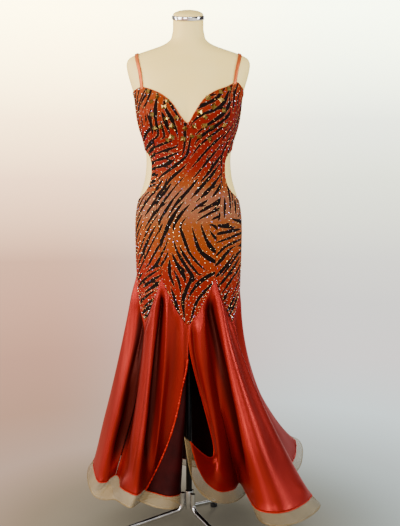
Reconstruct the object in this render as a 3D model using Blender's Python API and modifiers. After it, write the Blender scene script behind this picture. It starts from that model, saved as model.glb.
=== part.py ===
"""Ballroom dance dress on a limbless dress form with a chrome tripod stand.

Metres, +Z up. The front faces -Y, and left and right are as seen from the front.
A turn is an angle in degrees about the form's upright axis: 0 is the middle of the
front, 90 the right side, 180 the middle of the back and 270 the left side.
"""

import math
from collections import namedtuple

import bmesh
import bpy
import numpy as np
from mathutils.bvhtree import BVHTree

COLLECTION = "ballroom_dress_on_form"

# Place of the form's axis in the part's frame, whose origin is under the middle of the whole
AXIS_RIGHT = -0.03114
AXIS_BACK = -0.04037

WALL = 0.0016
SKIRT_WALL = 0.0018
HEM_WALL = 0.0014
CLEARANCE = 0.0016
SEAM = 0.0003
BODY_REACH = 0.155
SEAM_TURN = math.degrees(SEAM / BODY_REACH)

Section = namedtuple("Section", "height half_width front back")
FORM_SECTIONS = (
    Section(0.660, 0.149, 0.101, 0.101),
    Section(0.800, 0.155, 0.105, 0.110),
    Section(0.860, 0.159, 0.107, 0.114),
    Section(0.920, 0.1605, 0.108, 0.119),
    Section(0.980, 0.161, 0.108, 0.122),
    Section(1.030, 0.158, 0.106, 0.119),
    Section(1.070, 0.150, 0.102, 0.113),
    Section(1.100, 0.1405, 0.098, 0.106),
    Section(1.130, 0.1325, 0.094, 0.099),
    Section(1.160, 0.1285, 0.091, 0.093),
    Section(1.190, 0.1275, 0.091, 0.090),
    Section(1.220, 0.1305, 0.093, 0.089),
    Section(1.250, 0.1375, 0.096, 0.091),
    Section(1.280, 0.1470, 0.099, 0.095),
    Section(1.310, 0.1535, 0.101, 0.099),
    Section(1.340, 0.1575, 0.101, 0.102),
    Section(1.370, 0.1610, 0.099, 0.103),
    Section(1.400, 0.1690, 0.093, 0.101),
    Section(1.430, 0.1780, 0.085, 0.096),
    Section(1.455, 0.1835, 0.076, 0.087),
    Section(1.475, 0.1840, 0.067, 0.077),
    Section(1.490, 0.1740, 0.060, 0.069),
    Section(1.502, 0.1480, 0.056, 0.063),
    Section(1.514, 0.1120, 0.052, 0.058),
    Section(1.526, 0.0780, 0.048, 0.053),
    Section(1.540, 0.0560, 0.046, 0.049),
    Section(1.560, 0.0480, 0.0450, 0.0465),
    Section(1.602, 0.0455, 0.0450, 0.0450),
)
FORM_BOTTOM = 0.800
FORM_COLUMNS = 30
NECK_TILT = math.radians(15)
NECK_TILT_FROM = 1.545

BUST_TURN = 34.0
BUST_TURN_SPREAD = 25.0
BUST_HEIGHT = 1.328
BUST_HEIGHT_SPREAD = 0.056
BUST_OUT = 0.027

# Heights of the bodice's and yoke's edges, and turns of the seams between the panels
Edge = namedtuple("Edge", "turn height")
NECKLINE = (
    Edge(-90.0, 1.382),
    Edge(-66.0, 1.393),
    Edge(-52.0, 1.399),
    Edge(-38.0, 1.390),
    Edge(-25.0, 1.371),
    Edge(-15.0, 1.343),
    Edge(-6.5, 1.307),
    Edge(0.0, 1.294),
    Edge(8.0, 1.325),
    Edge(16.0, 1.358),
    Edge(28.0, 1.385),
    Edge(42.0, 1.401),
    Edge(51.0, 1.413),
    Edge(66.0, 1.401),
    Edge(90.0, 1.376),
)
BAND_TOP = (Edge(90.0, 1.376), Edge(120.0, 1.352), Edge(150.0, 1.336), Edge(180.0, 1.332))
BAND_BOTTOM = (Edge(90.0, 1.217), Edge(112.0, 1.238), Edge(140.0, 1.262), Edge(180.0, 1.274))
YOKE_TOP_BACK = (Edge(90.0, 1.063), Edge(120.0, 1.056), Edge(150.0, 1.044), Edge(180.0, 1.038))

SeamPlace = namedtuple("SeamPlace", "height turn")
PRINCESS_SEAM = (
    SeamPlace(0.870, 30.0),
    SeamPlace(0.950, 31.0),
    SeamPlace(1.040, 35.5),
    SeamPlace(1.100, 43.0),
    SeamPlace(1.170, 48.5),
    SeamPlace(1.240, 46.0),
    SeamPlace(1.300, 42.0),
    SeamPlace(1.370, 42.0),
    SeamPlace(1.410, 48.0),
)

# The edge of the side opening at the waist, from the bust band down to the hip yoke,
# a point for each row of faces
WAIST_OPENING = (
    SeamPlace(1.217, 90.0),
    SeamPlace(1.2135, 79.5),
    SeamPlace(1.208, 69.0),
    SeamPlace(1.195, 62.0),
    SeamPlace(1.176, 58.0),
    SeamPlace(1.150, 56.5),
    SeamPlace(1.126, 56.5),
    SeamPlace(1.106, 58.5),
    SeamPlace(1.090, 64.0),
    SeamPlace(1.079, 72.0),
    SeamPlace(1.070, 81.0),
    SeamPlace(1.063, 90.0),
)
PRINCESS_TOP_TURN = 47.0
GORE_TURN = 60.0
SEAM_PEAK = 0.840
SEAM_POINT = 0.697
SEAM_CURVE = 1.35

# Rows of faces down a panel between the heights where its shape changes. The side
# opening takes the rows of FRONT_STRETCHES from 1.217 to 1.063
Stretch = namedtuple("Stretch", "down_to rows")
BUST_STRETCHES = (Stretch(1.262, 8), Stretch(1.217, 2))
OPENING_STRETCHES = (Stretch(1.150, 5), Stretch(1.063, 6))
HIP_STRETCHES = (Stretch(0.870, 4), Stretch(None, 3))
FRONT_STRETCHES = BUST_STRETCHES + OPENING_STRETCHES + HIP_STRETCHES
BACK_STRETCHES = (Stretch(0.950, 2), Stretch(0.870, 2), Stretch(None, 3))
FRONT_COLUMNS = 24
SIDE_COLUMNS = 10
BAND_COLUMNS = 20
BAND_ROWS = 2

# Gold stones, in lines that follow the neckline: a line's row of faces below it,
# and the stones from the first to the last column counted from the middle of the front
StoneLine = namedtuple("StoneLine", "row first last step")
STONE_LINES = (
    StoneLine(0, 5, 11, 3),
    StoneLine(2, 3, 10, 3),
    StoneLine(4, 1, 11, 4),
    StoneLine(6, 4, 10, 3),
    StoneLine(8, 1, 9, 3),
)
STONE_HEIGHT = 0.0040

# The skirt's hem, a row for each point of its folds: the turn it hangs from on the
# yoke, its place from the form's axis, its height, how late it flares, and how far
# the cloth swings right, back and down three quarters of the way to it
Fold = namedtuple("Fold", "turn right back up ease swing_right swing_back swing_up")
HEM_HEIGHT = 0.185


def fold(turn, right, back, up=HEM_HEIGHT, ease=1.15, swing=(0.0, 0.0, 0.0)):
    return Fold(turn, right, back, up, ease, *swing)


FOLDS = (
    fold(0.0, 0.006, -0.172, 0.360, 1.5, (0.074, 0.050, -0.138)),
    fold(6.0, 0.034, -0.166, 0.266, 1.5, (0.056, 0.030, -0.062)),
    fold(10.0, 0.064, -0.146, 0.215, 1.5, (0.035, 0.012, -0.030)),
    fold(12.5, 0.096, -0.138, 0.193, 1.5, (0.014, 0.004, -0.006)),
    fold(15.0, 0.133, -0.104, ease=1.6),
    fold(19.0, 0.156, -0.046, ease=1.7),
    fold(26.5, 0.176, -0.160, ease=1.4),
    fold(30.0, 0.189, -0.222, ease=1.2),
    fold(34.0, 0.213, -0.262, ease=1.15),
    fold(37.5, 0.250, -0.276, ease=1.15),
    fold(41.5, 0.291, -0.262, ease=1.15),
    fold(46.0, 0.331, -0.222, ease=1.2),
    fold(51.0, 0.362, -0.172, ease=1.25),
    fold(54.0, 0.372, -0.138, ease=1.3),
    fold(57.0, 0.361, -0.106, ease=1.35),
    fold(60.0, 0.342, -0.076, ease=1.4),
    fold(67.0, 0.322, -0.028, ease=1.55),
    fold(74.5, 0.314, 0.030, ease=1.75),
    fold(82.0, 0.326, 0.090, ease=1.9),
    fold(90.0, 0.350, 0.150, ease=2.0),
    fold(98.0, 0.364, 0.212, 0.200, ease=2.1),
    fold(104.0, 0.361, 0.252, 0.225, ease=2.1),
    fold(108.5, 0.332, 0.278, 0.234, ease=2.05),
    fold(113.5, 0.290, 0.262, 0.202, ease=1.95),
    fold(120.0, 0.262, 0.220, ease=1.85),
    fold(126.0, 0.243, 0.248, ease=1.75),
    fold(134.5, 0.232, 0.300, 0.178, ease=1.6),
    fold(143.0, 0.205, 0.341, 0.168, ease=1.5),
    fold(150.0, 0.161, 0.350, 0.160, ease=1.4),
    fold(157.5, 0.123, 0.314, 0.155, ease=1.3),
    fold(166.0, 0.094, 0.264, 0.152, ease=1.4),
    fold(173.0, 0.050, 0.240, 0.150, ease=1.4),
    fold(180.0, 0.000, 0.248, 0.150, ease=1.4),
    fold(189.0, -0.046, 0.284, 0.150, ease=1.3),
    fold(200.0, -0.092, 0.334, 0.153, ease=1.3),
    fold(210.0, -0.141, 0.350, 0.160, ease=1.3),
    fold(217.5, -0.185, 0.326, 0.168, ease=1.3),
    fold(226.0, -0.211, 0.278, 0.178, ease=1.3),
    fold(234.5, -0.224, 0.230, ease=1.3),
    fold(240.0, -0.236, 0.196, ease=1.3),
    fold(245.0, -0.262, 0.206, ease=1.25),
    fold(251.0, -0.292, 0.196, ease=1.2),
    fold(259.5, -0.311, 0.150, 0.196, ease=1.2),
    fold(270.0, -0.314, 0.088, 0.204, ease=1.18),
    fold(279.0, -0.302, 0.016, 0.198, ease=1.18),
    fold(288.0, -0.277, -0.048, ease=1.15),
    fold(291.5, -0.257, -0.048, 0.186, ease=1.2),
    fold(296.5, -0.243, -0.034, 0.195, ease=1.3),
    fold(300.0, -0.231, -0.030, 0.202, ease=1.35),
    fold(310.0, -0.202, -0.075, 0.189, ease=1.3),
    fold(322.0, -0.179, -0.126, ease=1.2),
    fold(330.0, -0.151, -0.142, ease=1.2),
    fold(335.0, -0.131, -0.103, ease=1.3),
    fold(343.0, -0.111, -0.083, ease=1.4),
    fold(350.0, -0.084, -0.076, ease=1.6),
    fold(353.5, -0.061, -0.084, ease=1.9),
    fold(357.0, -0.040, -0.095, ease=2.2),
)
SWING_DROP = 0.75

# The front left gore is turned back on itself from a fold beside the slit
LAPEL_FROM = 357.0
LAPEL_COLUMNS = 10
LAPEL_BESIDE = 355.0
LAPEL_TOP_WIDTH = math.radians(360.0 - LAPEL_FROM) * BODY_REACH
LAPEL_HEM_WIDTH = 0.175
LAPEL_GROWTH = 1.9
LAPEL_STARTS = 0.20
LAPEL_TURN = math.radians(186)
LAPEL_TURNS_FROM = 0.10
LAPEL_TURNED_BY = 0.45
LAPEL_ROLL_SHARE = 0.60

GORE_COLUMNS = 24
GORE_ROWS = 9
GORES = ("front_right", "side_right", "back_right", "back_left", "side_left", "front_left")
GORE_TOP_GAP = 0.0016
HEM_BAND = 0.040
HEM_GAP = 0.0014
HEM_FLARE = 0.35
ABOVE_HEM = 0.97

STRAP_WIDTH = 0.011
STRAP_WIDTH_TURN = math.degrees(STRAP_WIDTH / 0.165)
STRAP_WALL = 0.0014
STRAP_CLEARANCE = 0.0018
STRAP_FRONT_TURN = 51.0
STRAP_BACK_TURN = 142.0
STRAP_END_GAP = 0.0006
StrapPlace = namedtuple("StrapPlace", "right back height")
STRAP_OVER = (
    StrapPlace(0.148, -0.052, 1.462),
    StrapPlace(0.154, -0.018, 1.500),
    StrapPlace(0.154, 0.014, 1.502),
    StrapPlace(0.149, 0.050, 1.478),
    StrapPlace(0.134, 0.078, 1.425),
)
STRAP_COLUMNS = 2
STRAP_ROWS = 26

NECK_RING_RADIUS = 0.0486
NECK_RING_HEIGHT = 0.0120
NECK_RING_ROUND = 0.0020
NECK_CAP_RADIUS = 0.0455
NECK_CAP_HEIGHT = 0.0150
NECK_STEPS = 24

POLE_RADIUS = 0.0095
HUB_RADIUS = 0.0125
HUB_BOTTOM = 0.080
HUB_TOP = 0.142
HUB_ROUND = 0.0020
LEG_RADIUS = 0.0075
LEG_TURNS = (38.0, 158.0, 278.0)
LEG_FLAT = 0.92
LEG_BEND = 0.026
LEG_BEND_TOP = 0.100
FOOT_REACH = 0.220
FOOT_RADIUS = 0.0115
FOOT_HEIGHT = 0.0120
FOOT_BEVEL = 0.0015
STAND_STEPS = 16

Look = namedtuple("Look", "red green blue roughness metallic")
LOOKS = {
    "print": Look(150, 62, 38, 0.55, 0.0),
    "satin": Look(168, 36, 28, 0.32, 0.0),
    "strap_satin": Look(215, 140, 105, 0.38, 0.0),
    "horsehair": Look(170, 150, 115, 0.45, 0.0),
    "form": Look(245, 232, 200, 0.45, 0.0),
    "chrome": Look(205, 205, 208, 0.12, 1.0),
    "black_steel": Look(22, 22, 24, 0.45, 0.6),
    "rubber": Look(25, 25, 27, 0.80, 0.0),
}


def column(table, name):
    return np.array([getattr(row, name) for row in table], dtype=float)


def curve(at, places, values):
    """Values on a smooth curve through (places, values), level past its two ends."""
    at = np.clip(np.asarray(at, dtype=float), places[0], places[-1])
    slopes = np.gradient(values, places)
    right = np.clip(np.searchsorted(places, at, side="right"), 1, len(places) - 1)
    left = right - 1
    span = places[right] - places[left]
    t = (at - places[left]) / span
    return (
        values[left] * (1 + 2 * t) * (1 - t) ** 2
        + values[right] * t**2 * (3 - 2 * t)
        + span * slopes[left] * t * (1 - t) ** 2
        - span * slopes[right] * t**2 * (1 - t)
    )


def edge_height(table, turn):
    return curve(turn, column(table, "turn"), column(table, "height"))


def seam_turn(table, height):
    return curve(height, column(table, "height"), column(table, "turn"))


def smooth_step(value):
    value = np.clip(value, 0.0, 1.0)
    return value * value * (3.0 - 2.0 * value)


def signed(turn):
    """The turn from -180 to 180."""
    return (np.asarray(turn, dtype=float) + 180.0) % 360.0 - 180.0


def body(turn, height, clearance=0.0):
    """Points on the form's surface, or that far off it."""
    heights = column(FORM_SECTIONS, "height")
    half_width = curve(height, heights, column(FORM_SECTIONS, "half_width")) + clearance
    front = curve(height, heights, column(FORM_SECTIONS, "front")) + clearance
    back = curve(height, heights, column(FORM_SECTIONS, "back")) + clearance
    angle = np.radians(turn)
    across = half_width * np.sin(angle)
    along = -np.where(np.cos(angle) > 0, front, back) * np.cos(angle)
    from_bust = (np.abs(signed(turn)) - BUST_TURN) / BUST_TURN_SPREAD
    above_bust = (np.asarray(height) - BUST_HEIGHT) / BUST_HEIGHT_SPREAD
    out = BUST_OUT * np.exp(-(from_bust**2) - above_bust**2)
    reach = np.hypot(across, along)
    grow = 1.0 + out / reach
    return np.stack([across * grow, along * grow, np.broadcast_to(height, reach.shape)], axis=-1)


def yoke_edge(turn):
    """Height of the zigzag seam between the yoke and the gores, a point every 60 degrees."""
    from_point = np.abs((np.asarray(turn, dtype=float) + GORE_TURN / 2) % GORE_TURN - GORE_TURN / 2)
    share = from_point / (GORE_TURN / 2)
    return SEAM_POINT + (SEAM_PEAK - SEAM_POINT) * share**SEAM_CURVE


def stepped(tops, bottoms, stretches):
    """Heights of a panel's rows, from its top edge to its bottom edge, a column for each top."""
    rows = [tops]
    start = tops
    for stretch in stretches:
        end = bottoms if stretch.down_to is None else np.full_like(tops, stretch.down_to)
        for step in range(1, stretch.rows + 1):
            rows.append(start + (end - start) * step / stretch.rows)
        start = end
    return np.array(rows)


def front_points():
    share = np.linspace(-1.0, 1.0, FRONT_COLUMNS + 1)
    tops = edge_height(NECKLINE, share * PRINCESS_TOP_TURN)
    heights = stepped(tops, yoke_edge(share * GORE_TURN / 2), FRONT_STRETCHES)
    turns = share * (seam_turn(PRINCESS_SEAM, heights) - SEAM_TURN)
    return body(turns, heights, CLEARANCE)


def side_front_points(side):
    """side is 1 on the right and -1 on the left."""
    share = np.linspace(0.0, 1.0, SIDE_COLUMNS + 1)
    bottoms = yoke_edge(GORE_TURN * (0.5 + share))
    top_turns = np.array([PRINCESS_TOP_TURN, 90.0])
    tops = edge_height(NECKLINE, side * top_turns)
    seam_heights = stepped(tops[:1], bottoms[:1], FRONT_STRETCHES)
    bust_heights = stepped(tops[1:], bottoms[-1:], BUST_STRETCHES)
    opening = column(WAIST_OPENING, "height")[:, None]
    hip_heights = stepped(opening[-1], bottoms[-1:], HIP_STRETCHES)
    side_heights = np.concatenate([bust_heights, opening[1:], hip_heights[1:]])
    side_turns = np.full_like(side_heights, 90.0)
    first = len(bust_heights) - 1
    side_turns[first : first + len(opening), 0] = column(WAIST_OPENING, "turn")
    seam_turns = seam_turn(PRINCESS_SEAM, seam_heights) + SEAM_TURN
    heights = seam_heights + share * (side_heights - seam_heights)
    top_edge = edge_height(NECKLINE, side * (top_turns[0] + share * (top_turns[1] - top_turns[0])))
    heights[0] = top_edge
    heights[-1] = bottoms
    turns = seam_turns + share * (side_turns - SEAM_TURN - seam_turns)
    points = body(side * turns, heights, CLEARANCE)
    return points if side > 0 else points[:, ::-1]


def hip_points(first_turn, last_turn):
    """A panel of the yoke behind the side seams."""
    turns = np.linspace(first_turn, last_turn, SIDE_COLUMNS + 1)
    tops = edge_height(YOKE_TOP_BACK, 180.0 - np.abs(180.0 - turns))
    heights = stepped(tops, yoke_edge(turns), BACK_STRETCHES)
    turns[0] += SEAM_TURN
    turns[-1] -= SEAM_TURN
    return body(np.broadcast_to(turns, heights.shape), heights, CLEARANCE)


def band_points():
    turns = np.linspace(90.0 + SEAM_TURN, 270.0 - SEAM_TURN, BAND_COLUMNS + 1)
    from_front = 180.0 - np.abs(180.0 - turns)
    tops = edge_height(BAND_TOP, from_front)
    bottoms = edge_height(BAND_BOTTOM, from_front)
    heights = stepped(tops, bottoms, (Stretch(None, BAND_ROWS),))
    return body(np.broadcast_to(turns, heights.shape), heights, CLEARANCE)


def skirt_points(turns, drops):
    """Points of the skirt that hang from these turns of the yoke, these shares of the way down."""
    turns, drops = np.meshgrid(turns, drops)
    top = body(turns, yoke_edge(turns) - GORE_TOP_GAP, CLEARANCE + SKIRT_WALL)
    places = column(FOLDS, "turn")
    at_hem = np.stack([curve(turns, places, column(FOLDS, n)) for n in ("right", "back", "up")], axis=-1)
    swing_names = ("swing_right", "swing_back", "swing_up")
    swing = np.stack([curve(turns, places, column(FOLDS, n)) for n in swing_names], axis=-1)
    flare = drops ** curve(turns, places, column(FOLDS, "ease"))
    swung = drops**3 * (1 - drops) / (SWING_DROP**3 * (1 - SWING_DROP))
    shares = np.stack([flare, flare, drops], axis=-1)
    return top + (at_hem - top) * shares + swing * swung[..., None]


def lapel_points(drops, columns):
    """The turned-back strip past the fold, in columns from beside the fold to its free edge."""
    base = skirt_points(np.array([LAPEL_FROM]), drops)[:, 0]
    beside = skirt_points(np.array([LAPEL_BESIDE]), drops)[:, 0]
    heading = np.arctan2(base[:, 1] - beside[:, 1], base[:, 0] - beside[:, 0])
    grown = np.clip((drops - LAPEL_STARTS) / (1 - LAPEL_STARTS), 0, 1) ** LAPEL_GROWTH
    width = LAPEL_TOP_WIDTH + (LAPEL_HEM_WIDTH - LAPEL_TOP_WIDTH) * grown
    turned = (drops - LAPEL_TURNS_FROM) / (LAPEL_TURNED_BY - LAPEL_TURNS_FROM)
    turn = LAPEL_TURN * smooth_step(turned)
    place = base.copy()
    strip = []
    for step in range(1, columns + 1):
        middle = (step - 0.5) / columns
        angle = heading - turn * np.minimum(middle / LAPEL_ROLL_SHARE, 1.0)
        place = place.copy()
        place[:, 0] += width / columns * np.cos(angle)
        place[:, 1] += width / columns * np.sin(angle)
        strip.append(place)
    strip = np.stack(strip, axis=1)
    tops = yoke_edge(LAPEL_FROM + (360.0 - LAPEL_FROM) * np.arange(1, columns + 1) / columns)
    sink = tops - yoke_edge(LAPEL_FROM)
    strip[..., 2] += sink[None, :] * (1 - drops[:, None])
    return strip


def gore_points(gore, drops):
    first = gore * GORE_TURN
    last = first + GORE_TURN
    turns = np.linspace(first, last, GORE_COLUMNS + 1)
    turns[0] += SEAM_TURN
    turns[-1] -= SEAM_TURN
    if GORES[gore] != "front_left":
        return skirt_points(turns, drops)
    turns = np.append(turns[turns < LAPEL_FROM], LAPEL_FROM)
    return np.concatenate([skirt_points(turns, drops), lapel_points(drops, LAPEL_COLUMNS)], axis=1)


def hem_band_points(gore):
    """The braid goes on past the gore's hem and flares a little more than it does."""
    above, hem = gore_points(gore, np.array([ABOVE_HEM, 1.0]))
    down = hem - above
    down /= np.linalg.norm(down, axis=1, keepdims=True)
    out = hem * np.array([1.0, 1.0, 0.0])
    out /= np.linalg.norm(out, axis=1, keepdims=True)
    way = down + HEM_FLARE * out
    way /= np.linalg.norm(way, axis=1, keepdims=True)
    return np.stack([hem + way * HEM_GAP, hem + way * HEM_BAND])


def material(name):
    look = LOOKS[name]
    made = bpy.data.materials.new(name)
    made.use_nodes = True
    shader = made.node_tree.nodes["Principled BSDF"]
    linear = [(value / 255) ** 2.2 for value in (look.red, look.green, look.blue)]
    shader.inputs["Base Color"].default_value = (*linear, 1.0)
    shader.inputs["Roughness"].default_value = look.roughness
    shader.inputs["Metallic"].default_value = look.metallic
    return made


def add_object(name, data, look, root):
    made = bpy.data.objects.new(name, data)
    made.parent = root
    bpy.data.collections[COLLECTION].objects.link(made)
    data.materials.append(material(look))
    data.materials[0].name = f"{name}_{look}"
    return made


def grid_mesh(name, points):
    """A mesh of quads through rows of points, the rows from top to bottom."""
    rows, columns = points.shape[:2]
    bm = bmesh.new()
    bmesh.ops.create_grid(bm, x_segments=columns - 1, y_segments=rows - 1, size=1.0)
    bm.verts.ensure_lookup_table()
    for vert, point in zip(bm.verts, points[::-1].reshape(-1, 3)):
        vert.co = point
    mesh = bpy.data.meshes.new(name)
    bm.to_mesh(mesh)
    bm.free()
    return mesh


def cloth(name, points, wall, look, root, side=1.0):
    """A panel through these points, its wall outside them, or inside them with side -1."""
    made = add_object(name, grid_mesh(name, points), look, root)
    made.data.shade_smooth()
    shell = made.modifiers.new("wall", "SOLIDIFY")
    shell.thickness = wall
    shell.offset = side
    return made


def settle(made):
    """The object's mesh as its modifiers leave it."""
    graph = bpy.context.evaluated_depsgraph_get()
    mesh = bpy.data.meshes.new_from_object(made.evaluated_get(graph))
    made.modifiers.clear()
    made.data = mesh


def add_stones(panel):
    """Raises a four-sided stone on each chosen face of the panel's outer side."""
    settle(panel)
    bm = bmesh.new()
    bm.from_mesh(panel.data)
    bm.faces.ensure_lookup_table()
    faces_down = sum(stretch.rows for stretch in FRONT_STRETCHES)
    outer = sorted(bm.faces[: FRONT_COLUMNS * faces_down], key=lambda face: face.index)
    middle = FRONT_COLUMNS // 2
    chosen = []
    for line in STONE_LINES:
        row = faces_down - 1 - line.row
        for step in range(line.first, line.last + 1, line.step):
            for place in (middle + step, middle - 1 - step):
                chosen.append(outer[row * FRONT_COLUMNS + place])
    poked = bmesh.ops.poke(bm, faces=chosen, offset=0.0, center_mode="MEAN")
    for vert in poked["verts"]:
        normal = sum((face.normal for face in vert.link_faces), vert.normal * 0.0)
        vert.co += normal.normalized() * STONE_HEIGHT
    bm.to_mesh(panel.data)
    bm.free()


def build_torso(root):
    sections = [row for row in FORM_SECTIONS if row.height >= FORM_BOTTOM]
    heights = np.array([row.height for row in reversed(sections)])
    turns = np.linspace(0.0, 360.0, FORM_COLUMNS + 1)
    points = body(*np.meshgrid(turns, heights))
    tilted = smooth_step((points[..., 2] - NECK_TILT_FROM) / (sections[-1].height - NECK_TILT_FROM))
    points[..., 2] += points[..., 1] * math.tan(NECK_TILT) * tilted
    mesh = grid_mesh("form_torso", points)
    bm = bmesh.new()
    bm.from_mesh(mesh)
    bmesh.ops.remove_doubles(bm, verts=bm.verts, dist=0.0001)
    bmesh.ops.holes_fill(bm, edges=[edge for edge in bm.edges if edge.is_boundary], sides=0)
    bm.to_mesh(mesh)
    bm.free()
    mesh.shade_smooth()
    return add_object("form_torso", mesh, "form", root)


def turned(name, profile, steps, look, root):
    """A solid turned about its own upright axis from (radius, height) points, top to bottom."""
    mesh = bpy.data.meshes.new(name)
    bm = bmesh.new()
    corners = [bm.verts.new((radius, 0.0, height)) for radius, height in profile]
    for first, second in zip(corners, corners[1:]):
        bm.edges.new((first, second))
    bm.to_mesh(mesh)
    bm.free()
    made = add_object(name, mesh, look, root)
    screw = made.modifiers.new("turn", "SCREW")
    screw.steps = screw.render_steps = steps
    screw.use_merge_vertices = True
    screw.merge_threshold = 0.00001
    return made


def rounded_disc(radius, bottom, top, corner):
    """Profile of a disc with cut corners, from the middle of its top to the middle of its bottom."""
    return (
        (0.0, top),
        (radius - corner, top),
        (radius, top - corner),
        (radius, bottom + corner),
        (radius - corner, bottom),
        (0.0, bottom),
    )


def build_neck(root):
    ring_top = NECK_RING_HEIGHT
    ring_profile = rounded_disc(NECK_RING_RADIUS, 0.0, ring_top, NECK_RING_ROUND)
    ring = turned("form_neck_ring", ring_profile, NECK_STEPS, "chrome", root)
    dome = [
        (NECK_CAP_RADIUS * math.sin(angle), NECK_CAP_HEIGHT * math.cos(angle))
        for angle in np.linspace(0.0, math.pi / 2, 6)
    ]
    cap = turned("form_neck_cap", [*dome, (0.0, 0.0)], NECK_STEPS, "form", root)
    way = np.array([0.0, -math.sin(NECK_TILT), math.cos(NECK_TILT)])
    neck_top = np.array([0.0, 0.0, FORM_SECTIONS[-1].height])
    for made, above in ((ring, SEAM), (cap, NECK_RING_HEIGHT + 2 * SEAM)):
        made.location = neck_top + way * above
        made.rotation_euler = (NECK_TILT, 0.0, 0.0)


def strap_end(turn, edge, width_turn):
    """The three corners of a strap's end, just above the edge that it is sewn to."""
    turns = turn + width_turn * np.linspace(-0.5, 0.5, STRAP_COLUMNS + 1)
    from_front = 180.0 - np.abs(180.0 - turns % 360.0) if edge is BAND_TOP else turns
    return body(turns, edge_height(edge, from_front) + STRAP_END_GAP, STRAP_CLEARANCE)


def strap_points(side, torso_tree):
    """A ribbon from the top of the cup over the shoulder to the band, on the form's own faces."""
    front = strap_end(side * STRAP_FRONT_TURN, NECKLINE, STRAP_WIDTH_TURN)
    back = strap_end(side * STRAP_BACK_TURN, BAND_TOP, -STRAP_WIDTH_TURN)
    over = [(side * place.right, place.back, place.height) for place in STRAP_OVER]
    rough = np.array([front[1], *over, back[1]])
    lengths = np.linalg.norm(np.diff(rough, axis=0), axis=1)
    along = np.concatenate([[0.0], np.cumsum(lengths)])
    places = np.linspace(0.0, along[-1], STRAP_ROWS + 1)
    middle = np.stack([curve(places, along, rough[:, axis]) for axis in range(3)], axis=-1)
    rows = [front]
    for before, point, after in zip(middle, middle[1:], middle[2:]):
        normal = np.array(torso_tree.find_nearest(point)[1])
        across = np.cross(after - before, normal)
        across /= np.linalg.norm(across)
        row = []
        for share in np.linspace(-0.5, 0.5, STRAP_COLUMNS + 1):
            found, face_normal = torso_tree.find_nearest(point + across * share * STRAP_WIDTH)[:2]
            row.append(np.array(found) + np.array(face_normal) * STRAP_CLEARANCE)
        rows.append(row)
    return np.array([*rows, back])[::-1]


def build_straps(torso, root):
    bm = bmesh.new()
    bm.from_mesh(torso.data)
    torso_tree = BVHTree.FromBMesh(bm)
    bm.free()
    for name, side in (("strap_left", -1), ("strap_right", 1)):
        cloth(name, strap_points(side, torso_tree), STRAP_WALL, "strap_satin", root)


def build_bodice(root):
    front = cloth("front_panel", front_points(), WALL, "print", root)
    add_stones(front)
    cloth("side_front_left", side_front_points(-1), WALL, "print", root)
    cloth("side_front_right", side_front_points(1), WALL, "print", root)
    cloth("back_band", band_points(), WALL, "print", root)
    cloth("side_back_right", hip_points(90.0, 150.0), WALL, "print", root)
    cloth("back_panel", hip_points(150.0, 210.0), WALL, "print", root)
    cloth("side_back_left", hip_points(210.0, 270.0), WALL, "print", root)


def build_skirt(root):
    drops = np.linspace(0.0, 1.0, GORE_ROWS + 1)
    for gore, name in enumerate(GORES):
        cloth(f"gore_{name}", gore_points(gore, drops), SKIRT_WALL, "satin", root, -1.0)
        cloth(f"hem_{name}", hem_band_points(gore), HEM_WALL, "horsehair", root, -1.0)


def build_leg(number, turn, root):
    across, back = math.sin(math.radians(turn)), -math.cos(math.radians(turn))
    start = HUB_RADIUS + LEG_RADIUS + SEAM
    end_height = FOOT_HEIGHT + SEAM + LEG_RADIUS * LEG_FLAT
    bend = [
        (start + LEG_BEND * (1 - math.cos(angle)), LEG_BEND_TOP - LEG_BEND * math.sin(angle))
        for angle in np.radians((0.0, 24.0, 48.0, 72.0))
    ]
    path = ((start, HUB_TOP - LEG_RADIUS), *bend, (FOOT_REACH, end_height))
    name = f"stand_leg_{number}"
    line = bpy.data.curves.new(name, "CURVE")
    line.dimensions = "3D"
    line.bevel_depth = LEG_RADIUS
    line.bevel_resolution = 2
    line.use_fill_caps = True
    spline = line.splines.new("POLY")
    spline.points.add(len(path) - 1)
    for point, (reach, height) in zip(spline.points, path):
        point.co = (across * reach, back * reach, height, 1.0)
    add_object(name, line, "chrome", root)
    foot_profile = rounded_disc(FOOT_RADIUS, 0.0, FOOT_HEIGHT, FOOT_BEVEL)
    foot = turned(f"stand_foot_{number}", foot_profile, STAND_STEPS, "rubber", root)
    foot.location = (across * FOOT_REACH, back * FOOT_REACH, 0.0)


def build_stand(root):
    hub_profile = rounded_disc(HUB_RADIUS, HUB_BOTTOM, HUB_TOP, HUB_ROUND)
    turned("stand_hub", hub_profile, STAND_STEPS, "chrome", root)
    pole_bottom, pole_top = HUB_TOP + SEAM, FORM_BOTTOM - SEAM
    pole_profile = rounded_disc(POLE_RADIUS, pole_bottom, pole_top, HUB_ROUND / 2)
    turned("stand_pole", pole_profile, STAND_STEPS, "black_steel", root)
    for number, turn in enumerate(LEG_TURNS, start=1):
        build_leg(number, turn, root)


def main():
    for old in list(bpy.data.objects):
        bpy.data.objects.remove(old, do_unlink=True)
    parts = bpy.data.collections.new(COLLECTION)
    bpy.context.scene.collection.children.link(parts)
    root = bpy.data.objects.new("form_axis", None)
    root.location = (AXIS_RIGHT, AXIS_BACK, 0.0)
    parts.objects.link(root)
    torso = build_torso(root)
    build_neck(root)
    build_stand(root)
    build_bodice(root)
    build_straps(torso, root)
    build_skirt(root)


main()
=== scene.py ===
"""Looks of the ballroom dance dress on its dress form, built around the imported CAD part.

Metres, +Z up. The front faces -Y, and left and right are as seen from the front.
A turn is an angle in degrees about the form's upright axis: 0 is the middle of the
front, 90 the right side, 180 the middle of the back and 270 the left side.
"""

import math
from types import SimpleNamespace

import bpy
import numpy as np
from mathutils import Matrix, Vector
from mathutils.bvhtree import BVHTree


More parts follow.
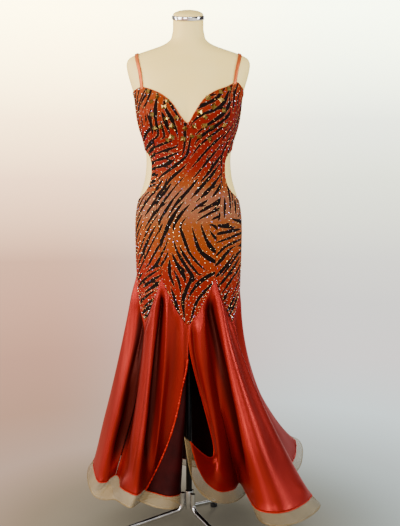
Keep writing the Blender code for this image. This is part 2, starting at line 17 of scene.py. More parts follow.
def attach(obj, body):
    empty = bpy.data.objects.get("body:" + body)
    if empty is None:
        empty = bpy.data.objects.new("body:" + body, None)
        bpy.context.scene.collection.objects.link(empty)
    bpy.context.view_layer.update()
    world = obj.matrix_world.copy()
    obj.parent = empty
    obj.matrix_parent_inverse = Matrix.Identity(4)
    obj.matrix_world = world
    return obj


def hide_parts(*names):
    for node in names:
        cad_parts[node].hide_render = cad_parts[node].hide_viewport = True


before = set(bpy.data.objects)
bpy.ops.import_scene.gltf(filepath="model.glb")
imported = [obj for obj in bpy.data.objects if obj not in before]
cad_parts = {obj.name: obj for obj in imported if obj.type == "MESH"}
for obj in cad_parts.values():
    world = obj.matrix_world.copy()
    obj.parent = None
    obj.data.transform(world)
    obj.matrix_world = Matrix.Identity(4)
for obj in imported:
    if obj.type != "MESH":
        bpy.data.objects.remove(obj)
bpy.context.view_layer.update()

AXIS = np.array([-0.03114, -0.04037, 0.0])

# The form and the dress, as in the part's source
CLEARANCE = 0.0016
CLOTH_WALL = 0.0011
SATIN_WALL = 0.0010
BODY_REACH = 0.155


def table(names, *rows):
    """Rows of numbers as named columns."""
    columns = [np.array(column, dtype=float) for column in zip(*rows)]
    return SimpleNamespace(**dict(zip(names.split(), columns)))


FORM_SECTIONS = table(
    "height half_width front back",
    (0.660, 0.149, 0.101, 0.101), (0.800, 0.155, 0.105, 0.110), (0.860, 0.159, 0.107, 0.114),
    (0.920, 0.1605, 0.108, 0.119), (0.980, 0.161, 0.108, 0.122), (1.030, 0.158, 0.106, 0.119),
    (1.070, 0.150, 0.102, 0.113), (1.100, 0.1405, 0.098, 0.106), (1.130, 0.1325, 0.094, 0.099),
    (1.160, 0.1285, 0.091, 0.093), (1.190, 0.1275, 0.091, 0.090), (1.220, 0.1305, 0.093, 0.089),
    (1.250, 0.1375, 0.096, 0.091), (1.280, 0.1470, 0.099, 0.095), (1.310, 0.1535, 0.101, 0.099),
    (1.340, 0.1575, 0.101, 0.102), (1.370, 0.1610, 0.099, 0.103), (1.400, 0.1690, 0.093, 0.101),
    (1.430, 0.1780, 0.085, 0.096), (1.455, 0.1835, 0.076, 0.087), (1.475, 0.1840, 0.067, 0.077),
    (1.490, 0.1740, 0.060, 0.069), (1.502, 0.1480, 0.056, 0.063), (1.514, 0.1120, 0.052, 0.058),
    (1.526, 0.0780, 0.048, 0.053), (1.540, 0.0560, 0.046, 0.049), (1.560, 0.0480, 0.0450, 0.0465),
    (1.602, 0.0455, 0.0450, 0.0450),
)
FORM_TOP = FORM_SECTIONS.height[-1]
FORM_BOTTOM = 0.800
NECK_TILT = math.radians(15)
NECK_TILT_FROM = 1.545

BUST_TURN = 34.0
BUST_TURN_SPREAD = 25.0
BUST_HEIGHT = 1.328
BUST_HEIGHT_SPREAD = 0.056
BUST_OUT = 0.027

NECKLINE = table(
    "turn height",
    (-90.0, 1.382), (-66.0, 1.393), (-52.0, 1.399), (-38.0, 1.390), (-25.0, 1.371),
    (-15.0, 1.343), (-6.5, 1.307), (0.0, 1.294), (8.0, 1.325), (16.0, 1.358),
    (28.0, 1.385), (42.0, 1.401), (51.0, 1.413), (66.0, 1.401), (90.0, 1.376),
)
BAND_TOP = table("turn height", (90.0, 1.376), (120.0, 1.352), (150.0, 1.336), (180.0, 1.332))
BAND_BOTTOM = table("turn height", (90.0, 1.217), (112.0, 1.238), (140.0, 1.262), (180.0, 1.274))
YOKE_TOP_BACK = table("turn height", (90.0, 1.063), (120.0, 1.056), (150.0, 1.044), (180.0, 1.038))
PRINCESS_SEAM = table(
    "height turn",
    (0.870, 30.0), (0.950, 31.0), (1.040, 35.5), (1.100, 43.0), (1.170, 48.5),
    (1.240, 46.0), (1.300, 42.0), (1.370, 42.0), (1.410, 48.0),
)
WAIST_OPENING = table(
    "height turn",
    (1.217, 90.0), (1.2135, 79.5), (1.208, 69.0), (1.195, 62.0), (1.176, 58.0),
    (1.150, 56.5), (1.126, 56.5), (1.106, 58.5), (1.090, 64.0), (1.079, 72.0),
    (1.070, 81.0), (1.063, 90.0),
)
PRINCESS_TOP_TURN = 47.0
GORE_TURN = 60.0
SEAM_PEAK = 0.840
SEAM_POINT = 0.697
SEAM_CURVE = 1.35

# A panel's rows: the height each stretch of them goes down to (None is the panel's lower edge)
# and how many rows it has
BUST_STRETCHES = ((1.262, 8), (1.217, 2))
OPENING_STRETCHES = ((1.150, 5), (1.063, 6))
HIP_STRETCHES = ((0.870, 4), (None, 3))
FRONT_STRETCHES = BUST_STRETCHES + OPENING_STRETCHES + HIP_STRETCHES
BACK_STRETCHES = ((0.950, 2), (0.870, 2), (None, 3))
FRONT_COLUMNS = 24
BUST_ROWS, OPENING_ROWS, FRONT_ROWS = (
    sum(rows for _, rows in stretches) for stretches in (BUST_STRETCHES, OPENING_STRETCHES, FRONT_STRETCHES)
)

# Gold stones: a row of the front panel's grid, then the first and last column out and the step
STONE_LINES = ((0, 5, 11, 3), (2, 3, 10, 3), (4, 1, 11, 4), (6, 4, 10, 3), (8, 1, 9, 3))

HEM_HEIGHT = 0.185
SWING_DROP = 0.75


def fold(turn, right, back, up=HEM_HEIGHT, ease=1.15, swing=(0.0, 0.0, 0.0)):
    return (turn, right, back, up, ease, *swing)


FOLDS = table(
    "turn right back up ease swing_right swing_back swing_up",
    fold(0.0, 0.006, -0.172, 0.360, 1.5, (0.074, 0.050, -0.138)),
    fold(6.0, 0.034, -0.166, 0.266, 1.5, (0.056, 0.030, -0.062)),
    fold(10.0, 0.064, -0.146, 0.215, 1.5, (0.035, 0.012, -0.030)),
    fold(12.5, 0.096, -0.138, 0.193, 1.5, (0.014, 0.004, -0.006)),
    fold(15.0, 0.133, -0.104, ease=1.6),
    fold(19.0, 0.156, -0.046, ease=1.7),
    fold(26.5, 0.176, -0.160, ease=1.4),
    fold(30.0, 0.189, -0.222, ease=1.2),
    fold(34.0, 0.213, -0.262, ease=1.15),
    fold(37.5, 0.250, -0.276, ease=1.15),
    fold(41.5, 0.291, -0.262, ease=1.15),
    fold(46.0, 0.331, -0.222, ease=1.2),
    fold(51.0, 0.362, -0.172, ease=1.25),
    fold(54.0, 0.372, -0.138, ease=1.3),
    fold(57.0, 0.361, -0.106, ease=1.35),
    fold(60.0, 0.342, -0.076, ease=1.4),
    fold(67.0, 0.322, -0.028, ease=1.55),
    fold(74.5, 0.314, 0.030, ease=1.75),
    fold(82.0, 0.326, 0.090, ease=1.9),
    fold(90.0, 0.350, 0.150, ease=2.0),
    fold(98.0, 0.364, 0.212, 0.200, ease=2.1),
    fold(104.0, 0.361, 0.252, 0.225, ease=2.1),
    fold(108.5, 0.332, 0.278, 0.234, ease=2.05),
    fold(113.5, 0.290, 0.262, 0.202, ease=1.95),
    fold(120.0, 0.262, 0.220, ease=1.85),
    fold(126.0, 0.243, 0.248, ease=1.75),
    fold(134.5, 0.232, 0.300, 0.178, ease=1.6),
    fold(143.0, 0.205, 0.341, 0.168, ease=1.5),
    fold(150.0, 0.161, 0.350, 0.160, ease=1.4),
    fold(157.5, 0.123, 0.314, 0.155, ease=1.3),
    fold(166.0, 0.094, 0.264, 0.152, ease=1.4),
    fold(173.0, 0.050, 0.240, 0.150, ease=1.4),
    fold(180.0, 0.000, 0.248, 0.150, ease=1.4),
    fold(189.0, -0.046, 0.284, 0.150, ease=1.3),
    fold(200.0, -0.092, 0.334, 0.153, ease=1.3),
    fold(210.0, -0.141, 0.350, 0.160, ease=1.3),
    fold(217.5, -0.185, 0.326, 0.168, ease=1.3),
    fold(226.0, -0.211, 0.278, 0.178, ease=1.3),
    fold(234.5, -0.224, 0.230, ease=1.3),
    fold(240.0, -0.236, 0.196, ease=1.3),
    fold(245.0, -0.262, 0.206, ease=1.25),
    fold(251.0, -0.292, 0.196, ease=1.2),
    fold(259.5, -0.311, 0.150, 0.196, ease=1.2),
    fold(270.0, -0.314, 0.088, 0.204, ease=1.18),
    fold(279.0, -0.302, 0.016, 0.198, ease=1.18),
    fold(288.0, -0.277, -0.048, ease=1.15),
    fold(291.5, -0.257, -0.048, 0.186, ease=1.2),
    fold(296.5, -0.243, -0.034, 0.195, ease=1.3),
    fold(300.0, -0.231, -0.030, 0.202, ease=1.35),
    fold(310.0, -0.202, -0.075, 0.189, ease=1.3),
    fold(322.0, -0.179, -0.126, ease=1.2),
    fold(330.0, -0.151, -0.142, ease=1.2),
    fold(335.0, -0.131, -0.103, ease=1.3),
    fold(343.0, -0.111, -0.083, ease=1.4),
    fold(350.0, -0.084, -0.076, ease=1.6),
    fold(353.5, -0.061, -0.084, ease=1.9),
    fold(357.0, -0.040, -0.095, ease=2.2),
)

LAPEL_FROM = 357.0
LAPEL_BESIDE = 355.0
LAPEL_TOP_WIDTH = math.radians(360.0 - LAPEL_FROM) * BODY_REACH
LAPEL_HEM_WIDTH = 0.175
LAPEL_GROWTH = 1.9
LAPEL_STARTS = 0.20
LAPEL_TURN = math.radians(186)
LAPEL_TURNS_FROM = 0.10
LAPEL_TURNED_BY = 0.45
LAPEL_ROLL_SHARE = 0.60

GORES = ("front_right", "side_right", "back_right", "back_left", "side_left", "front_left")
HEM_BAND = 0.040
HEM_FLARE = 0.35
ABOVE_HEM = 0.97

STRAP_WIDTH = 0.011
STRAP_WIDTH_TURN = math.degrees(STRAP_WIDTH / 0.165)
STRAP_WALL = 0.0011
STRAP_CLEARANCE = 0.0018
STRAP_FRONT_TURN = 51.0
STRAP_BACK_TURN = 142.0
STRAP_LAP = 0.006
STRAP_LIFT = 0.0002
STRAP_CROWN = 0.0005
# Where a strap passes over the shoulder: right, back and height
STRAP_OVER = (
    (0.148, -0.052, 1.462),
    (0.154, -0.018, 1.500),
    (0.154, 0.014, 1.502),
    (0.149, 0.050, 1.478),
    (0.134, 0.078, 1.425),
)

NECK_RING_RADIUS = 0.0486
NECK_RING_HEIGHT = 0.0120
NECK_CAP_RADIUS = 0.0455
NECK_CAP_HEIGHT = 0.0150
SEAM = 0.0003

POLE_RADIUS = 0.0095
HUB_RADIUS = 0.0125
HUB_BOTTOM = 0.080
HUB_TOP = 0.142
LEG_RADIUS = 0.0075
LEG_TURNS = (38.0, 158.0, 278.0)
LEG_FLAT = 0.92
LEG_BEND = 0.026
LEG_BEND_TOP = 0.100
FOOT_REACH = 0.220
FOOT_RADIUS = 0.0115
FOOT_HEIGHT = 0.0120

# How finely the looks are cut
PANEL_PITCH = 0.0025
GORE_COLUMNS = 120
GORE_ROWS = 120
LAPEL_COLUMNS = 40
LAPEL_PITCH = 0.385
BRAID_ROWS = 9
STRAP_COLUMNS = 7
STRAP_ROWS = 90
FORM_ROWS = 150
FORM_COLUMNS = 145


def curve(at, places, values):
    """Values on a smooth curve through (places, values), level past its two ends."""
    at = np.clip(np.asarray(at, dtype=float), places[0], places[-1])
    slopes = np.gradient(values, places)
    right = np.clip(np.searchsorted(places, at, side="right"), 1, len(places) - 1)
    left = right - 1
    span = places[right] - places[left]
    t = (at - places[left]) / span
    return (
        values[left] * (1 + 2 * t) * (1 - t) ** 2
        + values[right] * t**2 * (3 - 2 * t)
        + span * slopes[left] * t * (1 - t) ** 2
        - span * slopes[right] * t**2 * (1 - t)
    )


def edge_height(edge, turn):
    return curve(turn, edge.turn, edge.height)


def seam_turn(seam, height):
    return curve(height, seam.height, seam.turn)


def smooth_step(value):
    value = np.clip(value, 0.0, 1.0)
    return value * value * (3.0 - 2.0 * value)


def signed(turn):
    """The turn from -180 to 180."""
    return (np.asarray(turn, dtype=float) + 180.0) % 360.0 - 180.0


def from_front(turn):
    """Degrees round from the middle of the front, either way."""
    return 180.0 - np.abs(180.0 - turn % 360.0)


def unit(vectors):
    return vectors / np.maximum(np.linalg.norm(vectors, axis=-1, keepdims=True), 1e-12)


def distance_along(line):
    """How far along a line each of its points lies."""
    return np.concatenate([[0.0], np.cumsum(np.linalg.norm(np.diff(line, axis=0), axis=1))])


def lengths_along(points, axis):
    """How far along its row or column each point of a grid lies."""
    steps = np.linalg.norm(np.diff(points, axis=axis), axis=-1)
    pad = [(0, 0), (0, 0)]
    pad[axis] = (1, 0)
    return np.cumsum(np.pad(steps, pad), axis=axis)


def grid_normals(points):
    down = np.gradient(points, axis=0)
    across = np.gradient(points, axis=1)
    return unit(np.cross(across, -down))


def body(turn, height, clearance=0.0):
    """Points on the form's surface, or that far off it."""
    sections = (FORM_SECTIONS.half_width, FORM_SECTIONS.front, FORM_SECTIONS.back)
    half_width, front, back = (curve(height, FORM_SECTIONS.height, values) + clearance for values in sections)
    angle = np.radians(turn)
    across = half_width * np.sin(angle)
    along = -np.where(np.cos(angle) > 0, front, back) * np.cos(angle)
    from_bust = (np.abs(signed(turn)) - BUST_TURN) / BUST_TURN_SPREAD
    above_bust = (np.asarray(height) - BUST_HEIGHT) / BUST_HEIGHT_SPREAD
    out = BUST_OUT * np.exp(-(from_bust**2) - above_bust**2)
    reach = np.hypot(across, along)
    grow = 1.0 + out / reach
    return np.stack([across * grow, along * grow, np.broadcast_to(height, reach.shape)], axis=-1)


def yoke_edge(turn):
    """Height of the zigzag seam between the yoke and the gores, a point every 60 degrees."""
    from_point = np.abs((np.asarray(turn, dtype=float) + GORE_TURN / 2) % GORE_TURN - GORE_TURN / 2)
    share = from_point / (GORE_TURN / 2)
    return SEAM_POINT + (SEAM_PEAK - SEAM_POINT) * share**SEAM_CURVE


def stepped(tops, bottoms, stretches):
    """Heights of a panel's rows, from its top edge to its bottom edge, a column for each top."""
    heights = [tops]
    start = tops
    for down_to, rows in stretches:
        end = bottoms if down_to is None else np.full_like(tops, down_to)
        heights += [start + (end - start) * step / rows for step in range(1, rows + 1)]
        start = end
    return np.array(heights)


def between(values, down, across):
    """Values of a grid at fractional rows and columns."""
    upper = np.clip(down.astype(int), 0, len(values) - 2)
    left = np.clip(across.astype(int), 0, values.shape[1] - 2)
    v, u = down - upper, across - left
    if values.ndim == 3:
        v, u = v[..., None], u[..., None]
    above = values[upper, left] * (1 - u) + values[upper, left + 1] * u
    below = values[upper + 1, left] * (1 - u) + values[upper + 1, left + 1] * u
    return above * (1 - v) + below * v


def finer(heights, rows, columns, *others):
    """Coarse grids drawn out to that many rows and columns, the rows evenly apart in height."""
    drop = np.abs(np.diff(heights, axis=0)).mean(axis=1)
    total = np.concatenate([[0.0], np.cumsum(drop)])
    down = np.interp(np.linspace(0, total[-1], rows), total, np.arange(len(heights)))
    across = np.linspace(0, heights.shape[1] - 1, columns)
    return [between(values, down[:, None], across[None, :]) for values in (heights, *others)]


def ripple(x, y, seed, size=256):
    """Smooth random relief from -1 to 1 over (x, y), a bump about every 2 units."""
    lattice = np.random.default_rng(seed).uniform(-1.0, 1.0, (size, size))
    x, y = np.broadcast_arrays(np.asarray(x, dtype=float), np.asarray(y, dtype=float))
    column = np.floor(x).astype(int)
    row = np.floor(y).astype(int)
    u = smooth_step(x - column)
    v = smooth_step(y - row)
    value = 0.0
    for i, across in ((0, 1 - u), (1, u)):
        for j, down in ((0, 1 - v), (1, v)):
            value = value + lattice[(row + j) % size, (column + i) % size] * across * down
    return value


# Materials


def rgb(red, green, blue):
    """A colour in the shaders' own scale."""
    return (*[(value / 255) ** 2.2 for value in (red, green, blue)], 1.0)


class Look:
    """The nodes of a material, or of the world, built one after another."""

    def __init__(self, name, block=None, shader="Principled BSDF"):
        self.block = block or bpy.data.materials.new(name)
        self.block.use_nodes = True
        self.nodes = self.block.node_tree.nodes
        self.links = self.block.node_tree.links
        self.shader = self.nodes[shader]

    def put(self, socket, value):
        """A value set on the socket itself, or a link into it."""
        if isinstance(value, bpy.types.NodeSocket):
            self.links.new(value, socket)
        else:
            socket.default_value = value

    def add(self, kind, values=(), **settings):
        node = self.nodes.new(kind)
        for key, value in settings.items():
            setattr(node, key, value)
        for key, value in dict(values).items():
            self.put(node.inputs[key], value)
        return node

    def set(self, **values):
        """The shader's own sockets. It gives back the finished material or world."""
        for key, value in values.items():
            self.put(self.shader.inputs[key.replace("_", " ")], value)
        return self.block

    def attribute(self, name):
        return self.add("ShaderNodeAttribute", attribute_name=name).outputs["Fac"]

    def place(self, kind="Object"):
        return self.add("ShaderNodeTexCoord").outputs[kind]

    def noise(self, scale, detail=3.0):
        values = {"Vector": self.place(), "Scale": scale, "Detail": detail, "Roughness": 0.55}
        return self.add("ShaderNodeTexNoise", values).outputs["Fac"]

    def spread(self, value, low, high, to_low=0.0, to_high=1.0, smooth=False):
        values = {"Value": value, "From Min": low, "From Max": high, "To Min": to_low, "To Max": to_high}
        kind = "SMOOTHSTEP" if smooth else "LINEAR"
        return self.add("ShaderNodeMapRange", values, interpolation_type=kind).outputs["Result"]

    def mix(self, share, first, second):
        return self.add("ShaderNodeMix", {0: share, 6: first, 7: second}, data_type="RGBA").outputs[2]

    def ramp(self, value, stops, kind="LINEAR"):
        """Colours at places from 0 to 1."""
        node = self.add("ShaderNodeValToRGB", {"Fac": value})
        node.color_ramp.interpolation = kind
        made = node.color_ramp.elements
        for place, _ in stops[1:-1]:
            made.new(place)
        for element, (place, color) in zip(made, stops):
            element.position = place
            element.color = color
        return node.outputs["Color"]

    def math(self, operation, first, second=0.0):
        return self.add("ShaderNodeMath", {0: first, 1: second}, operation=operation).outputs[0]

    def bump(self, height, distance, strength, **normal):
        values = {"Height": height, "Distance": distance, "Strength": strength, **normal}
        return self.add("ShaderNodeBump", values).outputs["Normal"]

    def uneven(self, scale, least, most, low=0.3, high=0.7, detail=3.0):
        """A value that wanders over the piece between two limits."""
        return self.spread(self.noise(scale, detail), low, high, least, most)

    def patches(self, scale, first, second, low=0.3, high=0.7, detail=3.0):
        """Two colours that shade into each other in patches."""
        return self.mix(self.uneven(scale, 0.0, 1.0, low, high, detail), first, second)

    def grain(self, scale, distance, strength, detail=1.0, **normal):
        """Fine relief."""
        return self.bump(self.noise(scale, detail), distance, strength, **normal)


def satin_look(name, deep, bright, roughness, metallic, valley_shade=None):
    """Satin: a deep colour that catches the light along its folds, with a very fine weave, and painted shade
    in its valleys when a shade colour is given.
    """
    look = Look(name)
    color = look.patches(5.0, deep, bright, 0.35, 0.65, detail=1.0)
    coat = 0.04
    # Painted shade: the colour goes dark where the attribute says the sheet lies deep in a fold, with less
    # coat and less metal there
    if valley_shade:
        painted_shade = look.attribute("painted_shade")
        color = look.mix(painted_shade, color, valley_shade)
        coat = look.spread(painted_shade, 0.0, 0.6, coat, 0.0)
        metallic = look.spread(painted_shade, 0.0, 0.8, metallic, 0.15)
    return look.set(
        Base_Color=color,
        Metallic=metallic,
        Roughness=look.uneven(16.0, roughness - 0.02, roughness + 0.03, detail=1.0),
        Normal=look.grain(1400.0, distance=0.0002, strength=0.08),
        Coat_Weight=coat,
        Coat_Roughness=0.42,
        Specular_Tint=rgb(240, 132, 116),
    )


def plain_weave_look(name, dark, light, roughness):
    """The matt reverse of a cloth."""
    look = Look(name)
    return look.set(
        Base_Color=look.patches(14.0, dark, light),
        Roughness=look.uneven(60.0, roughness - 0.06, roughness + 0.06, 0.2, 0.8),
        Normal=look.grain(700.0, distance=0.0003, strength=0.25),
        Specular_IOR_Level=0.06,
    )


# The print's ground from the points of the yoke (0) up to the neckline (1)
GROUND_BOTTOM, GROUND_TOP = 0.690, 1.420
GROUND_STOPS = (
    (0.00, (120, 22, 7)),
    (0.20, (124, 26, 8)),
    (0.27, (130, 42, 10)),
    (0.34, (132, 58, 16)),
    (0.42, (130, 66, 24)),
    (0.46, (132, 80, 54)),
    (0.54, (132, 78, 54)),
    (0.57, (130, 62, 22)),
    (0.62, (124, 38, 11)),
    (0.67, (114, 20, 9)),
    (0.84, (114, 20, 10)),
    (0.90, (130, 42, 9)),
    (0.97, (136, 58, 12)),
)


def print_look():
    """Stretch cloth printed with tiger stripes, its ground shading from red to tan and back."""
    look = Look("printed_stretch_cloth")
    height = look.math("ADD", look.attribute("ground"), look.uneven(11.0, -0.022, 0.022, detail=4.0))
    shades = look.ramp(height, [(place, rgb(*color)) for place, color in GROUND_STOPS])
    flecks = look.uneven(420.0, 0.0, 0.35, 0.35, 0.75, detail=2.0)
    ground = look.mix(flecks, shades, rgb(78, 24, 8))
    ragged = look.math("ADD", look.attribute("stripe"), look.uneven(240.0, -0.0007, 0.0007, 0.2, 0.8))
    inked = look.spread(ragged, -0.0003, 0.0003, smooth=True)
    near = look.spread(look.math("ABSOLUTE", look.math("ADD", ragged, 0.0008)), 0.0, 0.0007, 1.0, 0.0)
    gilt = look.math("MULTIPLY", near, look.uneven(520.0, 0.0, 1.0, 0.50, 0.62))
    edged = look.mix(look.math("MULTIPLY", gilt, 0.6), ground, rgb(222, 190, 130))
    black = look.patches(90.0, rgb(12, 4, 2), rgb(26, 12, 6))
    ink_relief = look.bump(inked, distance=0.0002, strength=0.4)
    return look.set(
        Base_Color=look.mix(inked, edged, black),
        Roughness=look.spread(inked, 0.0, 1.0, 0.66, 0.72),
        Normal=look.grain(1100.0, distance=0.0003, strength=0.3, Normal=ink_relief),
        Specular_IOR_Level=0.08,
    )


def horsehair_look():
    """Stiff see-through braid, its threads laid both ways across it."""
    look = Look("horsehair_braid")
    split = look.add("ShaderNodeSeparateXYZ", {0: look.add("ShaderNodeUVMap").outputs["UV"]})
    along, down = split.outputs[0], split.outputs[1]
    ways = [look.math("MULTIPLY", look.math(way, along, down), 1500.0) for way in ("ADD", "SUBTRACT")]
    threads = look.math("MAXIMUM", *[look.math("SINE", way) for way in ways])
    edge = look.spread(down, 0.000, 0.005, 1.0, 0.0)
    rim = look.spread(down, HEM_BAND - 0.0045, HEM_BAND - 0.0035)
    tone = look.patches(9.0, rgb(106, 84, 48), rgb(152, 130, 88))
    return look.set(
        Base_Color=look.mix(edge, tone, rgb(140, 66, 28)),
        Roughness=look.spread(threads, -1.0, 1.0, 0.55, 0.32),
        Alpha=look.math("ADD", look.spread(threads, -0.6, 0.9, 0.16, 0.45), look.math("MULTIPLY", rim, 0.3)),
        Normal=look.bump(threads, distance=0.0004, strength=0.5),
    )


def form_look():
    look = Look("cream_form_shell")
    return look.set(
        Base_Color=look.patches(7.0, rgb(255, 222, 126), rgb(255, 227, 140)),
        Roughness=look.uneven(24.0, 0.50, 0.62),
        Normal=look.grain(520.0, distance=0.0002, strength=0.25, detail=2.0),
    )


def metal_look(name, dark, light, smoothest, roughest):
    look = Look(name)
    return look.set(
        Base_Color=look.patches(35.0, dark, light, 0.35, 0.65, detail=4.0),
        Metallic=1.0,
        Roughness=look.uneven(160.0, smoothest, roughest),
    )


def solid_look(name, dark, light, roughness, metallic=0.0):
    look = Look(name)
    return look.set(
        Base_Color=look.patches(18.0, dark, light),
        Metallic=metallic,
        Roughness=look.uneven(80.0, roughness - 0.05, roughness + 0.05),
        Normal=look.grain(300.0, distance=0.0002, strength=0.3, detail=2.0),
    )


# The crystals' tints, each from its share of them on: clear, gold, lilac and amber
CRYSTAL_TINTS = (
    (0.00, rgb(250, 244, 232)),
    (0.32, rgb(250, 214, 132)),
    (0.76, rgb(206, 184, 250)),
    (0.88, rgb(255, 176, 120)),
)


def crystal_look():
    look = Look("crystals")
    return look.set(
        Base_Color=look.ramp(look.attribute("tint"), CRYSTAL_TINTS, "CONSTANT"),
        Metallic=0.75,
        Roughness=look.uneven(300.0, 0.06, 0.16),
        Coat_Weight=0.6,
        Coat_Roughness=0.03,
    )


# The red satin's last colour is its painted shade, mixed in deep in the skirt's valleys
SATIN = satin_look("red_satin", rgb(120, 27, 24), rgb(136, 33, 29), 0.36, 0.52, rgb(46, 8, 8))
ROLLED = satin_look("rolled_edge_satin", rgb(150, 26, 15), rgb(176, 38, 20), 0.38, 0.4)
STRAP_SATIN = satin_look("strap_satin", rgb(178, 84, 38), rgb(198, 106, 54), 0.36, 0.3)
BINDING = satin_look("edge_binding", rgb(120, 40, 22), rgb(170, 74, 36), 0.42, 0.15)
# The satin's matt reverse, partly its own dull crimson and partly painted shade: darkened nearly to black for
# the shade inside the skirt, and the turned-back lapel shows it too
REVERSE_AND_SHADE = plain_weave_look("satin_reverse_and_shade", rgb(30, 2, 3), rgb(48, 5, 6), 0.62)
LINING = plain_weave_look("bodice_lining", rgb(60, 18, 14), rgb(84, 28, 20), 0.75)
PRINT = print_look()
HORSEHAIR = horsehair_look()
FORM = form_look()
CHROME = metal_look("chrome", rgb(196, 196, 200), rgb(228, 228, 230), 0.06, 0.16)
GOLD = metal_look("gold_stones", rgb(104, 82, 40), rgb(156, 128, 68), 0.14, 0.28)
BLACK_STEEL = solid_look("black_steel", rgb(16, 16, 18), rgb(30, 30, 33), 0.42, metallic=0.5)
RUBBER = solid_look("black_rubber", rgb(16, 16, 17), rgb(32, 32, 34), 0.80)
CRYSTAL = crystal_look()


# Pieces


def deselect():
    bpy.ops.object.select_all(action="DESELECT")


def select_only(made):
    deselect()
    made.select_set(True)
    bpy.context.view_layer.objects.active = made


def new_object(name, data):
    made = bpy.data.objects.new(name, data)
    bpy.context.scene.collection.objects.link(made)
    return made


def finish_piece(made, name, node):
    """Names the piece, hangs it on the root empty, and lets it stand for its CAD node."""
    made.name = made.data.name = name
    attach(made, "root")
    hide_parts(node)
    return made


def sewn_on(made):
    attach(made, "root")
    return made


def grid_object(points, uv):
    """A grid primitive through rows of points, the rows from top to bottom."""
    rows, columns = points.shape[:2]
    deselect()
    bpy.ops.mesh.primitive_grid_add(x_subdivisions=columns - 1, y_subdivisions=rows - 1, size=1)
    made = bpy.context.object
    mesh = made.data
    mesh.vertices.foreach_set("co", np.ascontiguousarray((points + AXIS)[::-1], dtype=np.float32).ravel())
    corners = np.zeros(len(mesh.loops), dtype=np.int32)
    mesh.loops.foreach_get("vertex_index", corners)
    flat = np.ascontiguousarray(uv[::-1], dtype=np.float32).reshape(-1, 2)
    mesh.uv_layers[0].data.foreach_set("uv", flat[corners].ravel())
    mesh.shade_smooth()
    mesh.update()
    return made


def cloth_places(points, downward=-1.0):
    """Each point's place on the flat cloth, along its row and its column."""
    return np.stack([lengths_along(points, 1), downward * lengths_along(points, 0)], axis=-1)


def add_values(made, name, values):
    """A number for each point of a grid, its rows from top to bottom."""
    layer = made.data.attributes.new(name, "FLOAT", "POINT")
    layer.data.foreach_set("value", np.ascontiguousarray(values[::-1], dtype=np.float32).ravel())


def give_wall(made, wall, side, *looks):
    """Cloth thickness on one side of the sheet. The second look is its reverse."""
    for look in looks:
        made.data.materials.append(look)
    shell = made.modifiers.new("cloth", "SOLIDIFY")
    shell.thickness = wall
    shell.offset = side
    shell.material_offset = len(looks) - 1
    shell.material_offset_rim = 0


def tube(name, points, radius, look, sides=3, radii=None):
    """A round strand along points, as a mesh."""
    line = bpy.data.curves.new(name, "CURVE")
    line.dimensions = "3D"
    line.bevel_depth = radius
    line.bevel_resolution = sides
    line.use_fill_caps = True
    spline = line.splines.new("POLY")
    spline.points.add(len(points) - 1)
    flat = np.concatenate([points + AXIS, np.ones((len(points), 1))], axis=1)
    spline.points.foreach_set("co", flat.astype(np.float32).ravel())
    if radii is not None:
        spline.points.foreach_set("radius", radii.astype(np.float32))
    select_only(new_object(name, line))
    bpy.ops.object.convert(target="MESH")
    made = bpy.context.object
    made.data.materials.append(look)
    made.data.shade_smooth()
    made.name = made.data.name = name
    return made


# The tiger stripes: strokes that follow a given flow over the cloth, laid out on a map
# whose u runs round the form and whose v is the height. The flow's angles are in degrees
FRONT_FLOW = table(
    "u v angle",
    (-0.130, 1.370, 60), (-0.100, 1.345, 76), (-0.070, 1.360, 98), (-0.035, 1.320, 118),
    (-0.100, 1.290, 66), (-0.065, 1.285, 92), (-0.030, 1.265, 106), (-0.100, 1.235, 14),
    (-0.060, 1.220, 12), (-0.012, 1.240, 78), (0.020, 1.290, 52), (0.045, 1.335, 22),
    (0.080, 1.360, 38), (0.105, 1.365, 62), (0.115, 1.330, 66), (0.095, 1.290, 46),
    (0.060, 1.265, 38), (-0.100, 1.180, 10), (-0.050, 1.170, 32), (0.000, 1.160, 42),
    (0.050, 1.190, 44), (0.095, 1.190, 42), (-0.080, 1.110, 52), (0.000, 1.100, 46),
    (0.080, 1.100, 38), (-0.080, 1.030, 58), (-0.040, 1.020, 62), (0.000, 1.030, 44),
    (0.050, 1.035, 28), (0.090, 1.035, 18), (-0.070, 0.960, 62), (-0.030, 0.960, 112),
    (0.015, 0.965, 104), (0.050, 0.960, 108), (0.080, 0.955, 142), (-0.075, 0.880, 52),
    (-0.035, 0.880, 118), (0.005, 0.880, 122), (0.040, 0.885, 136), (0.075, 0.885, 158),
    (-0.040, 0.810, 112), (0.000, 0.800, 64), (0.035, 0.805, 48), (0.060, 0.835, 32),
    (-0.015, 0.740, 104), (0.015, 0.735, 66),
)
SIDE_FLOW = table(
    "u v angle",
    (0.150, 1.370, 68), (0.210, 1.330, 62), (0.150, 1.270, 58), (0.135, 1.140, 84),
    (0.130, 1.050, 78), (0.190, 1.050, 68), (0.150, 1.003, 166), (0.210, 0.998, 172),
    (0.150, 0.962, 14), (0.190, 0.950, 4), (0.120, 0.880, 42), (0.190, 0.860, 34),
    (0.160, 0.790, 44), (-0.150, 1.340, 52), (-0.210, 1.300, 44), (-0.140, 1.240, 20),
    (-0.135, 1.140, 12), (-0.120, 1.040, 50), (-0.190, 1.010, 48), (-0.130, 0.940, 56),
    (-0.190, 0.900, 50), (-0.150, 0.820, 28), (0.300, 1.010, 122), (0.380, 0.960, 150),
    (0.487, 1.000, 90), (0.300, 0.880, 60), (0.400, 0.850, 35), (0.487, 0.780, 90),
    (-0.300, 1.010, 58), (-0.380, 0.960, 30), (-0.487, 1.000, 90), (-0.300, 0.880, 120),
    (-0.400, 0.850, 145), (-0.487, 0.780, 90), (0.300, 1.310, 64), (0.400, 1.310, 80),
    (-0.300, 1.310, 60), (-0.400, 1.310, 100),
)
